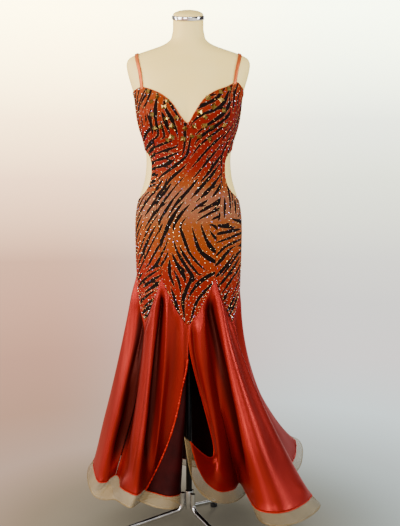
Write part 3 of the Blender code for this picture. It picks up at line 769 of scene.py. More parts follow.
# Half way and all the way round the form on the map, and the room left round each panel
MAP_HALF = 0.4871
MAP_ROUND = 0.974
MAP_MARGIN = 0.01
FLOW_REACH = 0.028
STROKE_STEP = 0.003
STROKE_MARGIN = 0.012
OUTSIDE = -0.02
START_GAP = 0.86
LINE_GAP = 0.56
SHORTEST = 0.9
STROKE_REACHES = (0.060, 0.130)
STROKE_WIDTHS = (0.19, 0.32)
STROKE_LEANS = (0.35, 0.65)
STROKE_AHEAD = 1.6
STROKE_RAGGED = 0.28
FORKED = 0.35
FORK_TURN = math.radians(32)
FORK_STEPS = 11
MOST_TURN = math.radians(70)


def flow_way(place, flow):
    """Direction of the print at a place on the map."""
    double = np.radians(2 * flow.angle)
    away = np.linalg.norm(np.stack([flow.u, flow.v], axis=-1) - place, axis=-1)
    weight = np.exp(-((away / FLOW_REACH) ** 2)) + 1e-9 / (away**2 + 1e-4)
    angle = math.atan2((weight * np.sin(double)).sum(), (weight * np.cos(double)).sum()) / 2
    return np.array([math.cos(angle), math.sin(angle)])


def nearer(laid, place, gap):
    return len(laid) > 0 and np.linalg.norm(laid - place, axis=1).min() < gap


def half_stroke(start, sign, length, flow, laid, gap, inside):
    """Points from the start along the flow, until it has turned too far or meets another stroke."""
    place = start.copy()
    way = flow_way(place, flow) * sign
    line = []
    bent = 0.0
    for _ in range(int(length / STROKE_STEP)):
        turned = flow_way(place, flow)
        turned = turned if turned @ way > 0 else -turned
        bent += math.atan2(way[0] * turned[1] - way[1] * turned[0], way @ turned)
        way = turned
        if abs(bent) > MOST_TURN:
            break
        place = place + way * STROKE_STEP
        if nearer(laid, place, gap) or not inside(place):
            break
        line.append(place)
    return line


def draw_strokes(flow, low, high, spacing, seed, inside):
    """Tapered strokes along the flow, as (points, half widths), no two nearer than the spacing."""
    draws = np.random.default_rng(seed)
    count = int(40 * (high[0] - low[0]) * (high[1] - low[1]) / spacing**2)
    laid = np.empty((0, 2))
    strokes = []
    for start in draws.uniform(low, high, (count, 2)):
        reach = draws.uniform(*STROKE_REACHES)
        widest = draws.uniform(*STROKE_WIDTHS) * spacing
        lean = draws.uniform(*STROKE_LEANS)
        fork = draws.uniform(-1.0, 1.0)
        if not inside(start) or nearer(laid, start, spacing * START_GAP):
            continue
        before, after = (
            half_stroke(start, sign, reach * share, flow, laid, spacing * LINE_GAP, inside)
            for sign, share in ((-1.0, 1.0), (1.0, STROKE_AHEAD))
        )
        points = np.array([*before[::-1], start, *after])
        if len(points) * STROKE_STEP < SHORTEST * spacing:
            continue
        share = np.linspace(0.0, 1.0, len(points))
        swell = np.where(share < lean, share / lean, (1 - share) / (1 - lean))
        uneven = 1 + STROKE_RAGGED * ripple(share * len(points) / 5.0, start[0] * 900.0, seed)
        widths = widest * np.sin(swell * math.pi / 2) ** 0.7 * uneven
        strokes.append((points, widths))
        laid = np.concatenate([laid, points])
        if abs(fork) < FORKED and len(points) > 16:
            strokes.append(branch(points, widths, math.copysign(FORK_TURN, fork)))
    return strokes


def branch(points, widths, turned):
    """A short stroke that leaves another at an angle and bends back alongside it."""
    root = int(len(points) * 0.45)
    way = points[root + 1] - points[root]
    angle = math.atan2(way[1], way[0]) + turned
    line = [points[root]]
    for step in range(FORK_STEPS):
        back = angle - turned * 0.7 * step / FORK_STEPS
        line.append(line[-1] + STROKE_STEP * np.array([math.cos(back), math.sin(back)]))
    share = np.linspace(0.0, 1.0, len(line))
    return np.array(line), widths[root] * 0.75 * (1 - share**1.6)


def stroke_field(places, strokes):
    """How far inside a stroke each place is, in metres, negative outside."""
    flat = places.reshape(-1, 2)
    field = np.full(len(flat), OUTSIDE)
    for points, widths in strokes:
        low = points.min(axis=0) - STROKE_MARGIN
        high = points.max(axis=0) + STROKE_MARGIN
        chosen = np.nonzero(((flat >= low) & (flat <= high)).all(axis=1))[0]
        near = flat[chosen]
        best = np.full(len(chosen), OUTSIDE)
        for first, second, wide, next_wide in zip(points, points[1:], widths, widths[1:]):
            way = second - first
            along = np.clip(((near - first) @ way) / (way @ way), 0, 1)
            away = np.linalg.norm(near - first - along[:, None] * way, axis=1)
            best = np.maximum(best, wide + (next_wide - wide) * along - away)
        field[chosen] = np.maximum(field[chosen], best)
    return field.reshape(places.shape[:-1])


# The printed panels: the turns and heights of each one's points
SEAM_DIP = 0.0010
SEAM_DIP_WIDTH = 0.0028
# How far the print's shading leans across the yoke and across the bust
YOKE_LEAN, BUST_LEAN = 0.045, -0.07


def front_heights(share):
    """Heights of the front panel's own rows, at shares of the way out to its seams."""
    tops = edge_height(NECKLINE, share * PRINCESS_TOP_TURN)
    return stepped(tops, yoke_edge(share * GORE_TURN / 2), FRONT_STRETCHES)


def front_map(rows, columns):
    share = np.linspace(-1.0, 1.0, columns)
    heights = finer(front_heights(share), rows, columns)[0]
    return share * seam_turn(PRINCESS_SEAM, heights), heights


def side_front_map(side, rows, columns):
    share = np.linspace(0.0, 1.0, columns)
    bottoms = yoke_edge(GORE_TURN * (0.5 + share))
    top_turns = np.array([PRINCESS_TOP_TURN, 90.0])
    tops = edge_height(NECKLINE, side * top_turns)
    seam_heights = stepped(tops[:1], bottoms[:1], FRONT_STRETCHES)
    bust_heights = stepped(tops[1:], bottoms[-1:], BUST_STRETCHES)
    opening = WAIST_OPENING.height[:, None]
    hip_heights = stepped(opening[-1], bottoms[-1:], HIP_STRETCHES)
    side_heights = np.concatenate([bust_heights, opening[1:], hip_heights[1:]])
    side_turns = np.full_like(side_heights, 90.0)
    first = len(bust_heights) - 1
    side_turns[first : first + len(opening), 0] = WAIST_OPENING.turn
    heights = seam_heights + share * (side_heights - seam_heights)
    heights[0] = edge_height(NECKLINE, side * (top_turns[0] + share * (top_turns[1] - top_turns[0])))
    last_rows = HIP_STRETCHES[-1][1]
    steps = np.arange(last_rows + 1)[:, None] / last_rows
    heights[-last_rows - 1 :] = heights[-last_rows - 1] + (bottoms - heights[-last_rows - 1]) * steps
    seam_turns = seam_turn(PRINCESS_SEAM, heights[:, :1])
    turns = seam_turns + share * (side_turns - seam_turns)
    heights, turns = finer(heights, rows, columns, turns)
    turns = side * turns
    return (turns, heights) if side > 0 else (turns[:, ::-1], heights[:, ::-1])


def hip_map(first_turn, rows, columns):
    turns = np.linspace(first_turn, first_turn + GORE_TURN, columns)
    tops = edge_height(YOKE_TOP_BACK, from_front(turns))
    heights = finer(stepped(tops, yoke_edge(turns), BACK_STRETCHES), rows, columns)[0]
    return np.broadcast_to(turns, heights.shape), heights


def band_map(rows, columns):
    turns = np.linspace(90.0, 270.0, columns)
    share = np.linspace(0.0, 1.0, rows)[:, None]
    tops = edge_height(BAND_TOP, from_front(turns))
    heights = tops + share * (edge_height(BAND_BOTTOM, from_front(turns)) - tops)
    return np.broadcast_to(turns, heights.shape), heights


def dip_at_seams(points):
    """How far each point sinks towards the seams at the panel's two sides."""
    across = lengths_along(points, 1)
    from_seam = np.minimum(across, across[:, -1:] - across)
    return SEAM_DIP * np.exp(-((from_seam / SEAM_DIP_WIDTH) ** 2))


class Panel:
    """A printed panel: its place on the form and its stripes."""

    def __init__(self, node, ways, spacing, seed, flow):
        self.node = node
        self.seed = seed
        self.turns, self.heights = ways
        points = body(self.turns, self.heights, CLEARANCE)
        self.points = points - grid_normals(points) * dip_at_seams(points)[..., None]
        places = self.map_places()
        low = places.reshape(-1, 2).min(axis=0) - MAP_MARGIN
        high = places.reshape(-1, 2).max(axis=0) + MAP_MARGIN
        if high[0] - low[0] > 0.8:
            low[0], high[0] = -0.5, 0.5

        def inside(place):
            return bool((place > low).all() and (place < high).all())

        self.stripes = stroke_field(places, draw_strokes(flow, low, high, spacing, seed, inside))
        self.made = self.build(places)

    def map_places(self):
        """Places on the print's map, which is cut open at the front for the pieces of the back."""
        across = np.radians(signed(self.turns)) * BODY_REACH
        if "back" in self.node:
            across = np.radians(self.turns) * BODY_REACH
            across = across - np.where(across > MAP_HALF, MAP_ROUND, 0.0)
        return np.stack(np.broadcast_arrays(across, self.heights), axis=-1)

    def build(self, places):
        made = grid_object(self.points, places)
        add_values(made, "stripe", self.stripes)
        ground = (self.heights - GROUND_BOTTOM) / (GROUND_TOP - GROUND_BOTTOM)
        lean = np.sin(np.radians(self.turns))
        low_part = smooth_step((0.40 - ground) / 0.2) * YOKE_LEAN
        high_part = smooth_step((ground - 0.70) / 0.15) * BUST_LEAN
        add_values(made, "ground", ground + lean * (low_part + high_part))
        give_wall(made, CLOTH_WALL, 1.0, PRINT, LINING)
        return finish_piece(made, f"{self.node}_cloth", self.node)

    def surface(self, places):
        """Points and normals on the panel's outer side at fractional grid places."""
        normals = grid_normals(self.points)
        outer = self.points + normals * CLOTH_WALL
        points, ways = (between(grid, places[:, 0], places[:, 1]) for grid in (outer, normals))
        return points, unit(ways)


# Crystals and stones


def cut_stone(ring, levels, tip=None):
    """Corners and faces of a stone: its outline at each (reach, height), flat or pointed on top."""
    sides = len(ring)
    corners = [(x * reach, y * reach, height) for reach, height in levels for x, y in ring]
    faces = []
    for i in range(sides):
        j = (i + 1) % sides
        for base in range(0, sides * (len(levels) - 1), sides):
            faces.append((base + i, base + j, base + sides + j, base + sides + i))
    top = range(len(corners) - sides, len(corners))
    if tip is None:
        faces.append(tuple(top))
    else:
        faces += [(top[i], top[(i + 1) % sides], len(corners)) for i in range(sides)]
        corners.append((0.0, 0.0, tip))
    faces.append(tuple(reversed(range(sides))))
    return np.array(corners), faces


CRYSTAL_ANGLES = np.arange(7) * 2 * math.pi / 7
CRYSTAL_RING = np.stack([np.cos(CRYSTAL_ANGLES), np.sin(CRYSTAL_ANGLES)], axis=-1)
CRYSTAL_SHAPE = cut_stone(CRYSTAL_RING, ((1.0, -0.15), (1.0, 0.10), (0.52, 0.62)))
SQUARE = ((-1, -1), (1, -1), (1, 1), (-1, 1))
STONE_SHAPE = cut_stone(SQUARE, ((1.0, -0.12), (1.0, 0.10), (0.93, 0.16)), 1.15)
CRYSTAL_SIZES = (0.0011, 0.0014, 0.0018)
CRYSTAL_SHARES = (0.45, 0.40, 0.15)
EDGE_PITCH = 0.0095
# Shares of the crystals' spacing that they keep at the yoke's points, beside a stripe and over
# open ground, and how few of them lie on the black
POINTS_BELOW, POINTS_GAP = 0.80, 0.72
BESIDE_BLACK, BESIDE_GAP, GROUND_GAP = -0.004, 0.92, 1.12
ON_BLACK, ON_BLACK_SHARE = 0.0005, 0.16
STONE_SIZES = (0.0056, 0.0074)
STONE_ASTRAY = 2.4


def scatter(name, look, shape, surface, sizes, turns, tints):
    """One mesh with the shape at each point, stood on its normal."""
    corners, faces = shape
    points, normals = surface
    side = unit(np.cross(normals, np.array([0.02, 0.0, 1.0])))
    other = np.cross(normals, side)
    cos, sin = np.cos(turns)[:, None], np.sin(turns)[:, None]
    side, other = side * cos + other * sin, other * cos - side * sin
    placed = points[:, None]
    for way, reach in zip((side, other, normals), corners.T):
        placed = placed + way[:, None] * (reach * sizes[:, None])[..., None]
    starts = range(0, len(points) * len(corners), len(corners))
    mesh = bpy.data.meshes.new(name)
    mesh.from_pydata(
        (placed.reshape(-1, 3) + AXIS).tolist(),
        [],
        [[start + i for i in face] for start in starts for face in faces],
    )
    layer = mesh.attributes.new("tint", "FLOAT", "POINT")
    layer.data.foreach_set("value", np.repeat(tints, len(corners)).astype(np.float32))
    mesh.materials.append(look)
    mesh.update()
    return sewn_on(new_object(name, mesh))


def crystal_places(panel, spacing, draws):
    """Fractional grid places of the crystals, spread evenly and kept off most of the black."""
    rows, columns = panel.stripes.shape
    across = lengths_along(panel.points, 1)
    count = int(9 * across[:, -1].mean() * lengths_along(panel.points, 0)[-1].mean() / spacing**2)
    picked = []
    kept = np.empty((0, 3))
    tries = draws.uniform((1.2, 1.2), (rows - 2.2, columns - 2.2), (count, 2))
    chance = draws.uniform(0, 1, count)
    for (row, place), lucky in zip(tries, chance):
        at = int(row), int(place)
        inside = panel.stripes[at]
        if inside > ON_BLACK and lucky > ON_BLACK_SHARE:
            continue
        gap = BESIDE_GAP if inside > BESIDE_BLACK else GROUND_GAP
        gap = POINTS_GAP if panel.heights[at] < POINTS_BELOW else gap
        if nearer(kept, panel.points[at], spacing * gap):
            continue
        kept = np.concatenate([kept, [panel.points[at]]])
        picked.append((row, place))
    return np.array(picked)


def lower_edge_places(panel, draws):
    """Fractional grid places of a straggling row of crystals along the lower edge."""
    rows, columns = panel.stripes.shape
    along = distance_along(panel.points[-1])
    at = np.arange(EDGE_PITCH, along[-1] - EDGE_PITCH / 2, EDGE_PITCH)
    near = np.stack([np.full(len(at), rows - 2.8), np.interp(at, along, np.arange(columns))], axis=-1)
    near += draws.uniform((-1.4, -1.2), (0.8, 1.2), near.shape)
    return np.clip(near, 1, np.array(panel.stripes.shape) - 2)


def add_crystals(panel, spacing):
    draws = np.random.default_rng(panel.seed + 500)
    places = crystal_places(panel, spacing, draws)
    if panel.node != "back_band":
        places = np.concatenate([places, lower_edge_places(panel, draws)])
    count = len(places)
    sizes = draws.choice(CRYSTAL_SIZES, count, p=CRYSTAL_SHARES)
    turns = draws.uniform(0, math.pi, count)
    tints = draws.uniform(0, 1, count)
    surface = panel.surface(places)
    return scatter(f"{panel.node}_crystals", CRYSTAL, CRYSTAL_SHAPE, surface, sizes, turns, tints)


def add_gold_stones(panel):
    """The gold stones on the raised faces of the front panel's solid, four sided as they are."""
    draws = np.random.default_rng(71)
    rows, columns = panel.stripes.shape
    corners = front_heights(np.linspace(-1.0, 1.0, FRONT_COLUMNS + 1))
    places = []
    for line, first, last, step in STONE_LINES:
        for out in range(first, last + 1, step):
            for place in (FRONT_COLUMNS // 2 + out, FRONT_COLUMNS // 2 - 1 - out):
                middle = corners[line : line + 2, place : place + 2].mean()
                at = (place + 0.5) / FRONT_COLUMNS * (columns - 1) + draws.normal(0, STONE_ASTRAY)
                height = middle + draws.normal(0, STONE_ASTRAY * PANEL_PITCH)
                below = panel.heights[:, int(round(np.clip(at, 0, columns - 1)))]
                row = np.interp(-height, -below, np.arange(rows))
                places.append((np.clip(row, 3, rows - 4), np.clip(at, 3, columns - 4)))
    surface = panel.surface(np.array(places))
    count = len(places)
    sizes = draws.uniform(*STONE_SIZES, count)
    turns = draws.uniform(0, math.pi / 2, count)
    return scatter("front_panel_gold_stones", GOLD, STONE_SHAPE, surface, sizes, turns, np.zeros(count))


BINDING_RADIUS = 0.0013
FRONT_CRYSTALS, BACK_CRYSTALS = 0.0120, 0.0150
FRONT_PRINT, SIDE_PRINT, HIP_PRINT, BAND_PRINT = 0.0205, 0.0200, 0.022, 0.0205
HIP_PIECES = (("side_back_right", 90.0, 6), ("back_panel", 150.0, 7), ("side_back_left", 210.0, 8))


def bound_edge(name, line):
    """A narrow binding rolled over an edge of a panel."""
    return sewn_on(tube(name, line, BINDING_RADIUS, BINDING))


def finish_panel(panel, crystal_spacing, flat, area):
    """Sews and glues on what a panel carries."""
    name = panel.node
    sewn = [add_crystals(panel, crystal_spacing)]
    top = panel.points[0] + grid_normals(panel.points)[0] * CLOTH_WALL * 0.5
    sewn.append(bound_edge(f"{name}_top_binding", top))
    if name.startswith("side_front"):
        rows = len(panel.points)
        outer = panel.points[:, -1 if name.endswith("right") else 0]
        first = rows * BUST_ROWS // FRONT_ROWS
        last = rows * (BUST_ROWS + OPENING_ROWS) // FRONT_ROWS
        sewn.append(bound_edge(f"{name}_opening_binding", outer[first : last + 1]))
    if name == "back_band":
        sewn.append(bound_edge(f"{name}_bottom_binding", panel.points[-1]))
    if name == "front_panel":
        sewn.append(add_gold_stones(panel))


def pitched(tall, wide):
    """Rows and columns of a panel of that size."""
    return int(tall / PANEL_PITCH), int(wide / PANEL_PITCH)


def build_bodice():
    """The panels, each from its map, print spacing and seed, and then what is sewn on them."""
    front = Panel("front_panel", front_map(*pitched(0.66, 0.27)), FRONT_PRINT, 3, FRONT_FLOW)
    panels = [(front, FRONT_CRYSTALS, (0.30, 0.72), 0.135)]
    for name, side, seed in (("side_front_left", -1, 4), ("side_front_right", 1, 5)):
        panel = Panel(name, side_front_map(side, *pitched(0.58, 0.145)), SIDE_PRINT, seed, SIDE_FLOW)
        panels.append((panel, FRONT_CRYSTALS, (0.17, 0.70), 0.062))
    for name, first, seed in HIP_PIECES:
        panel = Panel(name, hip_map(first, *pitched(0.30, 0.16)), HIP_PRINT, seed, SIDE_FLOW)
        panels.append((panel, BACK_CRYSTALS, (0.17, 0.36), 0.045))
    band = Panel("back_band", band_map(*pitched(0.09, 0.46)), BAND_PRINT, 9, SIDE_FLOW)
    panels.append((band, BACK_CRYSTALS, (0.48, 0.16), 0.040))
    for panel in panels:
        finish_panel(*panel)


# The skirt


def skirt(turns, drops):
    """Points of the skirt that hang from these turns of the yoke, these shares of the way down."""
    turns, drops = np.meshgrid(turns, drops)

    def folded(*columns):
        return np.stack([curve(turns, FOLDS.turn, values) for values in columns], axis=-1)

    top = body(turns, yoke_edge(turns), CLEARANCE + SATIN_WALL)
    at_hem = folded(FOLDS.right, FOLDS.back, FOLDS.up)
    swing = folded(FOLDS.swing_right, FOLDS.swing_back, FOLDS.swing_up)
    flare = drops ** curve(turns, FOLDS.turn, FOLDS.ease)
    swung = drops**3 * (1 - drops) / (SWING_DROP**3 * (1 - SWING_DROP))
    shares = np.stack([flare, flare, drops], axis=-1)
    return top + (at_hem - top) * shares + swing * swung[..., None]


def lapel(drops, columns):
    """The turned-back strip past the fold, in columns from beside the fold to its free edge."""
    base = skirt(np.array([LAPEL_FROM]), drops)[:, 0]
    beside = skirt(np.array([LAPEL_BESIDE]), drops)[:, 0]
    heading = np.arctan2(base[:, 1] - beside[:, 1], base[:, 0] - beside[:, 0])
    grown = np.clip((drops - LAPEL_STARTS) / (1 - LAPEL_STARTS), 0, 1) ** LAPEL_GROWTH
    width = LAPEL_TOP_WIDTH + (LAPEL_HEM_WIDTH - LAPEL_TOP_WIDTH) * grown
    turned = (drops - LAPEL_TURNS_FROM) / (LAPEL_TURNED_BY - LAPEL_TURNS_FROM)
    turn = LAPEL_TURN * smooth_step(turned)
    place = base.copy()
    strip = []
    for step in range(1, columns + 1):
        middle = (step - 0.5) / columns
        angle = heading - turn * np.minimum(middle / LAPEL_ROLL_SHARE, 1.0)
        place = place.copy()
        place[:, 0] += width / columns * np.cos(angle)
        place[:, 1] += width / columns * np.sin(angle)
        strip.append(place)
    strip = np.stack(strip, axis=1)
    tops = yoke_edge(LAPEL_FROM + (360.0 - LAPEL_FROM) * np.arange(1, columns + 1) / columns)
    sink = tops - yoke_edge(LAPEL_FROM)
    strip[..., 2] += sink[None, :] * (1 - drops[:, None])
    return strip


def gore_sheet(gore, drops):
    """Points of one gore, and the turn that each column hangs from."""
    first = gore * GORE_TURN
    if GORES[gore] != "front_left":
        turns = np.linspace(first, first + GORE_TURN, GORE_COLUMNS + 1)
        return skirt(turns, drops), turns
    turns = np.linspace(first, LAPEL_FROM, GORE_COLUMNS + 1)
    points = np.concatenate([skirt(turns, drops), lapel(drops, LAPEL_COLUMNS)], axis=1)
    past = LAPEL_FROM + np.arange(1, LAPEL_COLUMNS + 1) * LAPEL_PITCH
    return points, np.concatenate([turns, past])


# Flutes and the valleys between them: the turn each starts from under the seam and the turn
# it has drifted to at the hem, and how far the cloth stands out or falls back at either end
PLEATS = table(
    "turn low_turn out low_out",
    (0.0, 0.0, 0.000, 0.000), (2.2, 2.2, 0.004, 0.003), (4.8, 4.8, -0.009, -0.006),
    (8.5, 8.5, 0.007, 0.003), (16.5, 21.0, 0.008, 0.008), (22.5, 27.5, -0.022, -0.016),
    (28.5, 33.0, 0.007, 0.010), (36.0, 37.0, 0.008, 0.008), (42.0, 44.0, -0.003, -0.002),
    (49.0, 51.0, 0.008, 0.005), (56.0, 59.0, -0.016, -0.010), (63.0, 66.0, 0.006, 0.007),
    (71.0, 73.0, -0.010, -0.006), (80.0, 80.0, 0.008, 0.006), (88.0, 90.0, -0.014, -0.010),
    (96.0, 98.0, 0.008, 0.006), (108.0, 109.0, -0.010, -0.008), (118.0, 119.0, 0.010, 0.008),
    (128.0, 126.0, -0.014, -0.010), (138.0, 138.0, 0.010, 0.006), (147.0, 149.0, -0.010, -0.006),
    (157.0, 158.0, 0.012, 0.006), (166.0, 168.0, -0.014, -0.008), (177.0, 176.0, 0.010, 0.006),
    (187.0, 186.0, -0.012, -0.006), (198.0, 198.0, 0.010, 0.006), (209.0, 210.0, -0.014, -0.008),
    (219.0, 218.0, 0.010, 0.006), (230.0, 231.0, -0.014, -0.008), (241.0, 242.0, 0.010, 0.006),
    (251.0, 250.0, -0.012, -0.006), (262.0, 262.0, 0.004, 0.004), (272.0, 273.0, 0.010, 0.008),
    (278.0, 286.0, -0.002, 0.000), (284.5, 295.0, -0.026, -0.018), (292.0, 301.0, -0.018, -0.014),
    (300.0, 306.0, 0.002, 0.002), (311.0, 314.0, 0.008, 0.008), (318.0, 320.0, -0.003, -0.004),
    (325.0, 328.0, 0.008, 0.008), (331.0, 334.5, -0.024, -0.020), (336.5, 340.0, 0.011, 0.012),
    (343.0, 345.0, 0.002, -0.003), (348.0, 349.0, -0.006, -0.006), (354.0, 354.0, 0.003, 0.003),
    (360.0, 360.0, 0.000, 0.000),
)
PLEAT_BY = 0.11
PLEAT_LOW_BY = 0.62
# How deep in a valley the painted shade starts, and how deep it is when the shade is full
VALLEY_SHADE_AT = (0.001, 0.016)
CALM_TURN = 15.0
CALM_FROM, CALM_BY = 0.45, 0.62
HEM_EVENS, HEM_EVENS_FROM = 0.85, 0.72
CALM_PASSES = 12
# Painted shade on the flute near turn 309, as if the flute beside it shaded it: how much, its turn, how far
# it drifts by the hem, and its spread in turn
SHADED, SHADED_TURN, SHADED_DRIFT, SHADED_SPREAD = 0.55, 309.0, 4.0, 7.0

# Short creases and curls near the hem: the turn and share of the way down of each one's
# middle, how far it drifts in turn, its width in turn, its length, and how far it stands out
CREASES = (
    (12.5, 0.900, 40.0, 1.3, 0.050, 0.006),
    (16.5, 0.930, 55.0, 1.1, 0.040, 0.005),
    (20.5, 0.860, -30.0, 1.5, 0.060, 0.007),
    (23.0, 0.900, -30.0, 1.2, 0.050, -0.006),
    (50.0, 0.955, 30.0, 1.8, 0.035, 0.006),
    (296.5, 0.940, 0.0, 2.2, 0.040, 0.008),
    (313.0, 0.985, 0.0, 6.0, 0.060, 0.015),
)


def crease_relief(turns, down):
    relief = 0.0
    for turn, middle, lean, wide, long, out in CREASES:
        along = (down - middle) / long
        across = (turns - turn - lean * (down - middle)) / wide
        relief = relief + out * np.exp(-(across**2) - along**2)
    return relief


def pleat_depths(turns, drops):
    """How far the flutes stand out or fall back at each turn and share of the way down."""
    rows = []
    for drop in drops:
        share = min(drop / PLEAT_LOW_BY, 1.0)
        starts = PLEATS.turn + (PLEATS.low_turn - PLEATS.turn) * share
        rows.append(curve(turns, starts, PLEATS.out + (PLEATS.low_out - PLEATS.out) * share))
    return np.array(rows) * smooth_step(drops / PLEAT_BY)[:, None]


# Small relief: how far long creases stand out and pulled ones fall back, with the turns each
# spans, and the gathers under the seam and puckers over the hem, with their pitch and reach
LONG_CREASE, LONG_CREASE_TURNS = 0.0032, 4.2
PULLED, PULLED_TURNS = -0.0022, 7.0
GATHER, GATHER_PITCH, GATHER_REACH = 0.0007, 0.0055, 0.022
PUCKER, PUCKER_PITCH, PUCKER_REACH = 0.0012, 0.011, 0.012


def soft_creases(turns, down):
    """Long creases that drift across the cloth on their way down, and narrow pulled ones."""
    creases = ripple(turns / LONG_CREASE_TURNS + down * 0.8, down * 1.1, 11) * LONG_CREASE
    pulled = ripple(turns / PULLED_TURNS - down * 1.6, down * 0.9, 14)
    return (creases + np.exp(-((pulled / 0.2) ** 2)) * PULLED) * smooth_step(down * 2.2)


def stitched_relief(points):
    """Gathers under the seam and puckers over the hem."""
    from_seam = lengths_along(points, 0)
    from_hem = from_seam[-1:] - from_seam
    arc = lengths_along(points, 1)
    gathers = ripple(arc[:1] / GATHER_PITCH, from_seam / 0.05, 13) * GATHER
    gathers = gathers * np.exp(-((from_seam / GATHER_REACH) ** 2)) * smooth_step(from_seam / 0.004)
    puckers = ripple(arc / PUCKER_PITCH, from_hem / 0.03, 15) * PUCKER
    return gathers, puckers * np.exp(-((from_hem / PUCKER_REACH) ** 2))


def creased(points, turns, drops):
    """The sheet with its flutes, creases, gathers and puckers, and how much painted shade each point
    gets, from 0 to 1: more the deeper it lies in a valley, and some on the flute near turn 309."""
    down = drops[:, None]
    relief = soft_creases(turns[None], down)
    flutes = pleat_depths(turns % 360.0, drops)
    flutes = np.where((turns > LAPEL_FROM)[None], 0.0, flutes)
    over_form = smooth_step((FORM_BOTTOM + 0.012 - points[..., 2]) / 0.05)
    flutes = np.where(flutes < 0, flutes * over_form, flutes)
    relief = np.where(relief < 0, relief * over_form, relief) + flutes
    near_slit = smooth_step((CALM_TURN - turns) / 4.0)[None] * (turns < 180.0)[None]
    relief = relief * (1 - near_slit * smooth_step((down - CALM_FROM) / (CALM_BY - CALM_FROM)))
    relief = relief * (1 - HEM_EVENS * smooth_step((down - HEM_EVENS_FROM) / (1 - HEM_EVENS_FROM)))
    relief += crease_relief(turns[None], down)
    gathers, puckers = stitched_relief(points)
    sheet = points + grid_normals(points) * (relief + gathers + puckers)[..., None]
    calm = sheet.copy()
    for _ in range(CALM_PASSES):
        calm[:, 1:-1] = (calm[:, :-2] + 2 * calm[:, 1:-1] + calm[:, 2:]) / 4
    sheet += (calm - sheet) * smooth_step(down / 0.10)[..., None] * smooth_step((1 - down) / 0.04)[..., None]
    # Painted shade: a darker colour the deeper the point lies in a valley
    painted_shade = smooth_step((-relief - VALLEY_SHADE_AT[0]) / (VALLEY_SHADE_AT[1] - VALLEY_SHADE_AT[0]))
    # Painted shade on the flute near turn 309, joined with the valleys' painted shade
    shaded = SHADED * np.exp(-(((turns[None] - SHADED_TURN - down * SHADED_DRIFT) / SHADED_SPREAD) ** 2))
    return sheet, np.maximum(painted_shade, shaded)


# The braid: where its outer edge bridges a valley of the hem, and how stiffly it runs
BRIDGE = (286.0, 314.0)
BRIDGE_OUT = 0.012
BRIDGE_DOWN = 0.010
EVEN_PASSES = 2200
EVEN_SHARES = (0.5, -0.5031)
BRAID_WALL = 0.0008
# The rolled edges' radii, where the slit's two edges start down their gores, and their stitches
HEM_ROLL, LEFT_ROLL, RIGHT_ROLL = 0.0013, 0.0030, 0.0018
LEFT_ROLL_FROM, RIGHT_ROLL_FROM = 24, 4
ROLL_PITCH, STITCH_PITCH = 0.0022, 0.0045


def braid_edge(sheet):
    """The outer edge of the braid, which goes on past the gore's hem and flares a little more."""
    hem = sheet[-1]
    down = unit(hem - sheet[int(round(ABOVE_HEM * (len(sheet) - 1)))])
    out = unit(hem * np.array([1.0, 1.0, 0.0]))
    return hem + unit(down + HEM_FLARE * out) * HEM_BAND


def joined(parts):
    return np.concatenate([part[:-1] for part in parts[:-1]] + [parts[-1]])


def evened(edges, turns):
    """The outer edges joined round the hem, evened as stiff braid evens them, and parted again."""
    line = joined(edges)
    first, last = np.searchsorted(joined(turns), BRIDGE)
    share = np.linspace(0.0, 1.0, last - first + 1)[:, None]
    out = line[first] + line[last]
    out = out * np.array([1.0, 1.0, 0.0]) / np.hypot(out[0], out[1])
    line[first : last + 1] = line[first] + (line[last] - line[first]) * share
    line[first : last + 1] += 4 * share * (1 - share) * (BRIDGE_OUT * out - np.array([0.0, 0.0, BRIDGE_DOWN]))
    for _ in range(EVEN_PASSES):
        for share in EVEN_SHARES:
            line[1:-1] += share * ((line[:-2] + line[2:]) / 2 - line[1:-1])
    parted = []
    start = 0
    for edge in edges:
        parted.append(line[start : start + len(edge)])
        start += len(edge) - 1
    return parted


def rolled_edge(name, line, radius, seed, pucker=0.15):
    """A narrow rolled hem along an edge of the satin, puckered by its stitches."""
    along = distance_along(line)
    places = np.arange(0.0, along[-1], ROLL_PITCH)
    fine = np.stack([np.interp(places, along, line[:, axis]) for axis in range(3)], axis=-1)
    radii = 1 + pucker * ripple(places / STITCH_PITCH, 0.5, seed)
    return sewn_on(tube(name, fine, radius, ROLLED, sides=2, radii=radii))


def build_gore(name, sheet, painted_shade):
    made = grid_object(sheet, cloth_places(sheet))
    add_values(made, "painted_shade", painted_shade)
    give_wall(made, SATIN_WALL, -1.0, SATIN, REVERSE_AND_SHADE)
    rolls = [rolled_edge(f"gore_{name}_hem_roll", sheet[-1], HEM_ROLL, 16)]
    if name == "front_left":
        free = sheet[LEFT_ROLL_FROM:, -1]
        rolls.append(rolled_edge("gore_front_left_free_edge", free, LEFT_ROLL, 17, 0.55))
    if name == "front_right":
        free = sheet[RIGHT_ROLL_FROM:, 0]
        rolls.append(rolled_edge("gore_front_right_free_edge", free, RIGHT_ROLL, 18, 0.2))
    finish_piece(made, f"gore_{name}_satin", f"gore_{name}")
    return made


def build_braid(name, hem, edge, gore):
    share = np.linspace(0.0, 1.0, BRAID_ROWS)[:, None, None]
    ribbon = hem + (edge - hem) * share
    made = grid_object(ribbon, cloth_places(ribbon, 1.0))
    give_wall(made, BRAID_WALL, -1.0, HORSEHAIR)
    finish_piece(made, f"hem_{name}_braid", f"hem_{name}")


def build_skirt():
    drops = np.linspace(0.0, 1.0, GORE_ROWS + 1)
    plain = [gore_sheet(gore, drops) for gore in range(len(GORES))]
    sheets = [creased(points, turns, drops) for points, turns in plain]
    edges = evened([braid_edge(sheet) for sheet, _ in sheets], [turns for _, turns in plain])
    for name, (sheet, painted_shade), edge in zip(GORES, sheets, edges):
        build_braid(name, sheet[-1], edge, build_gore(name, sheet, painted_shade))


# The form, its straps and its stand


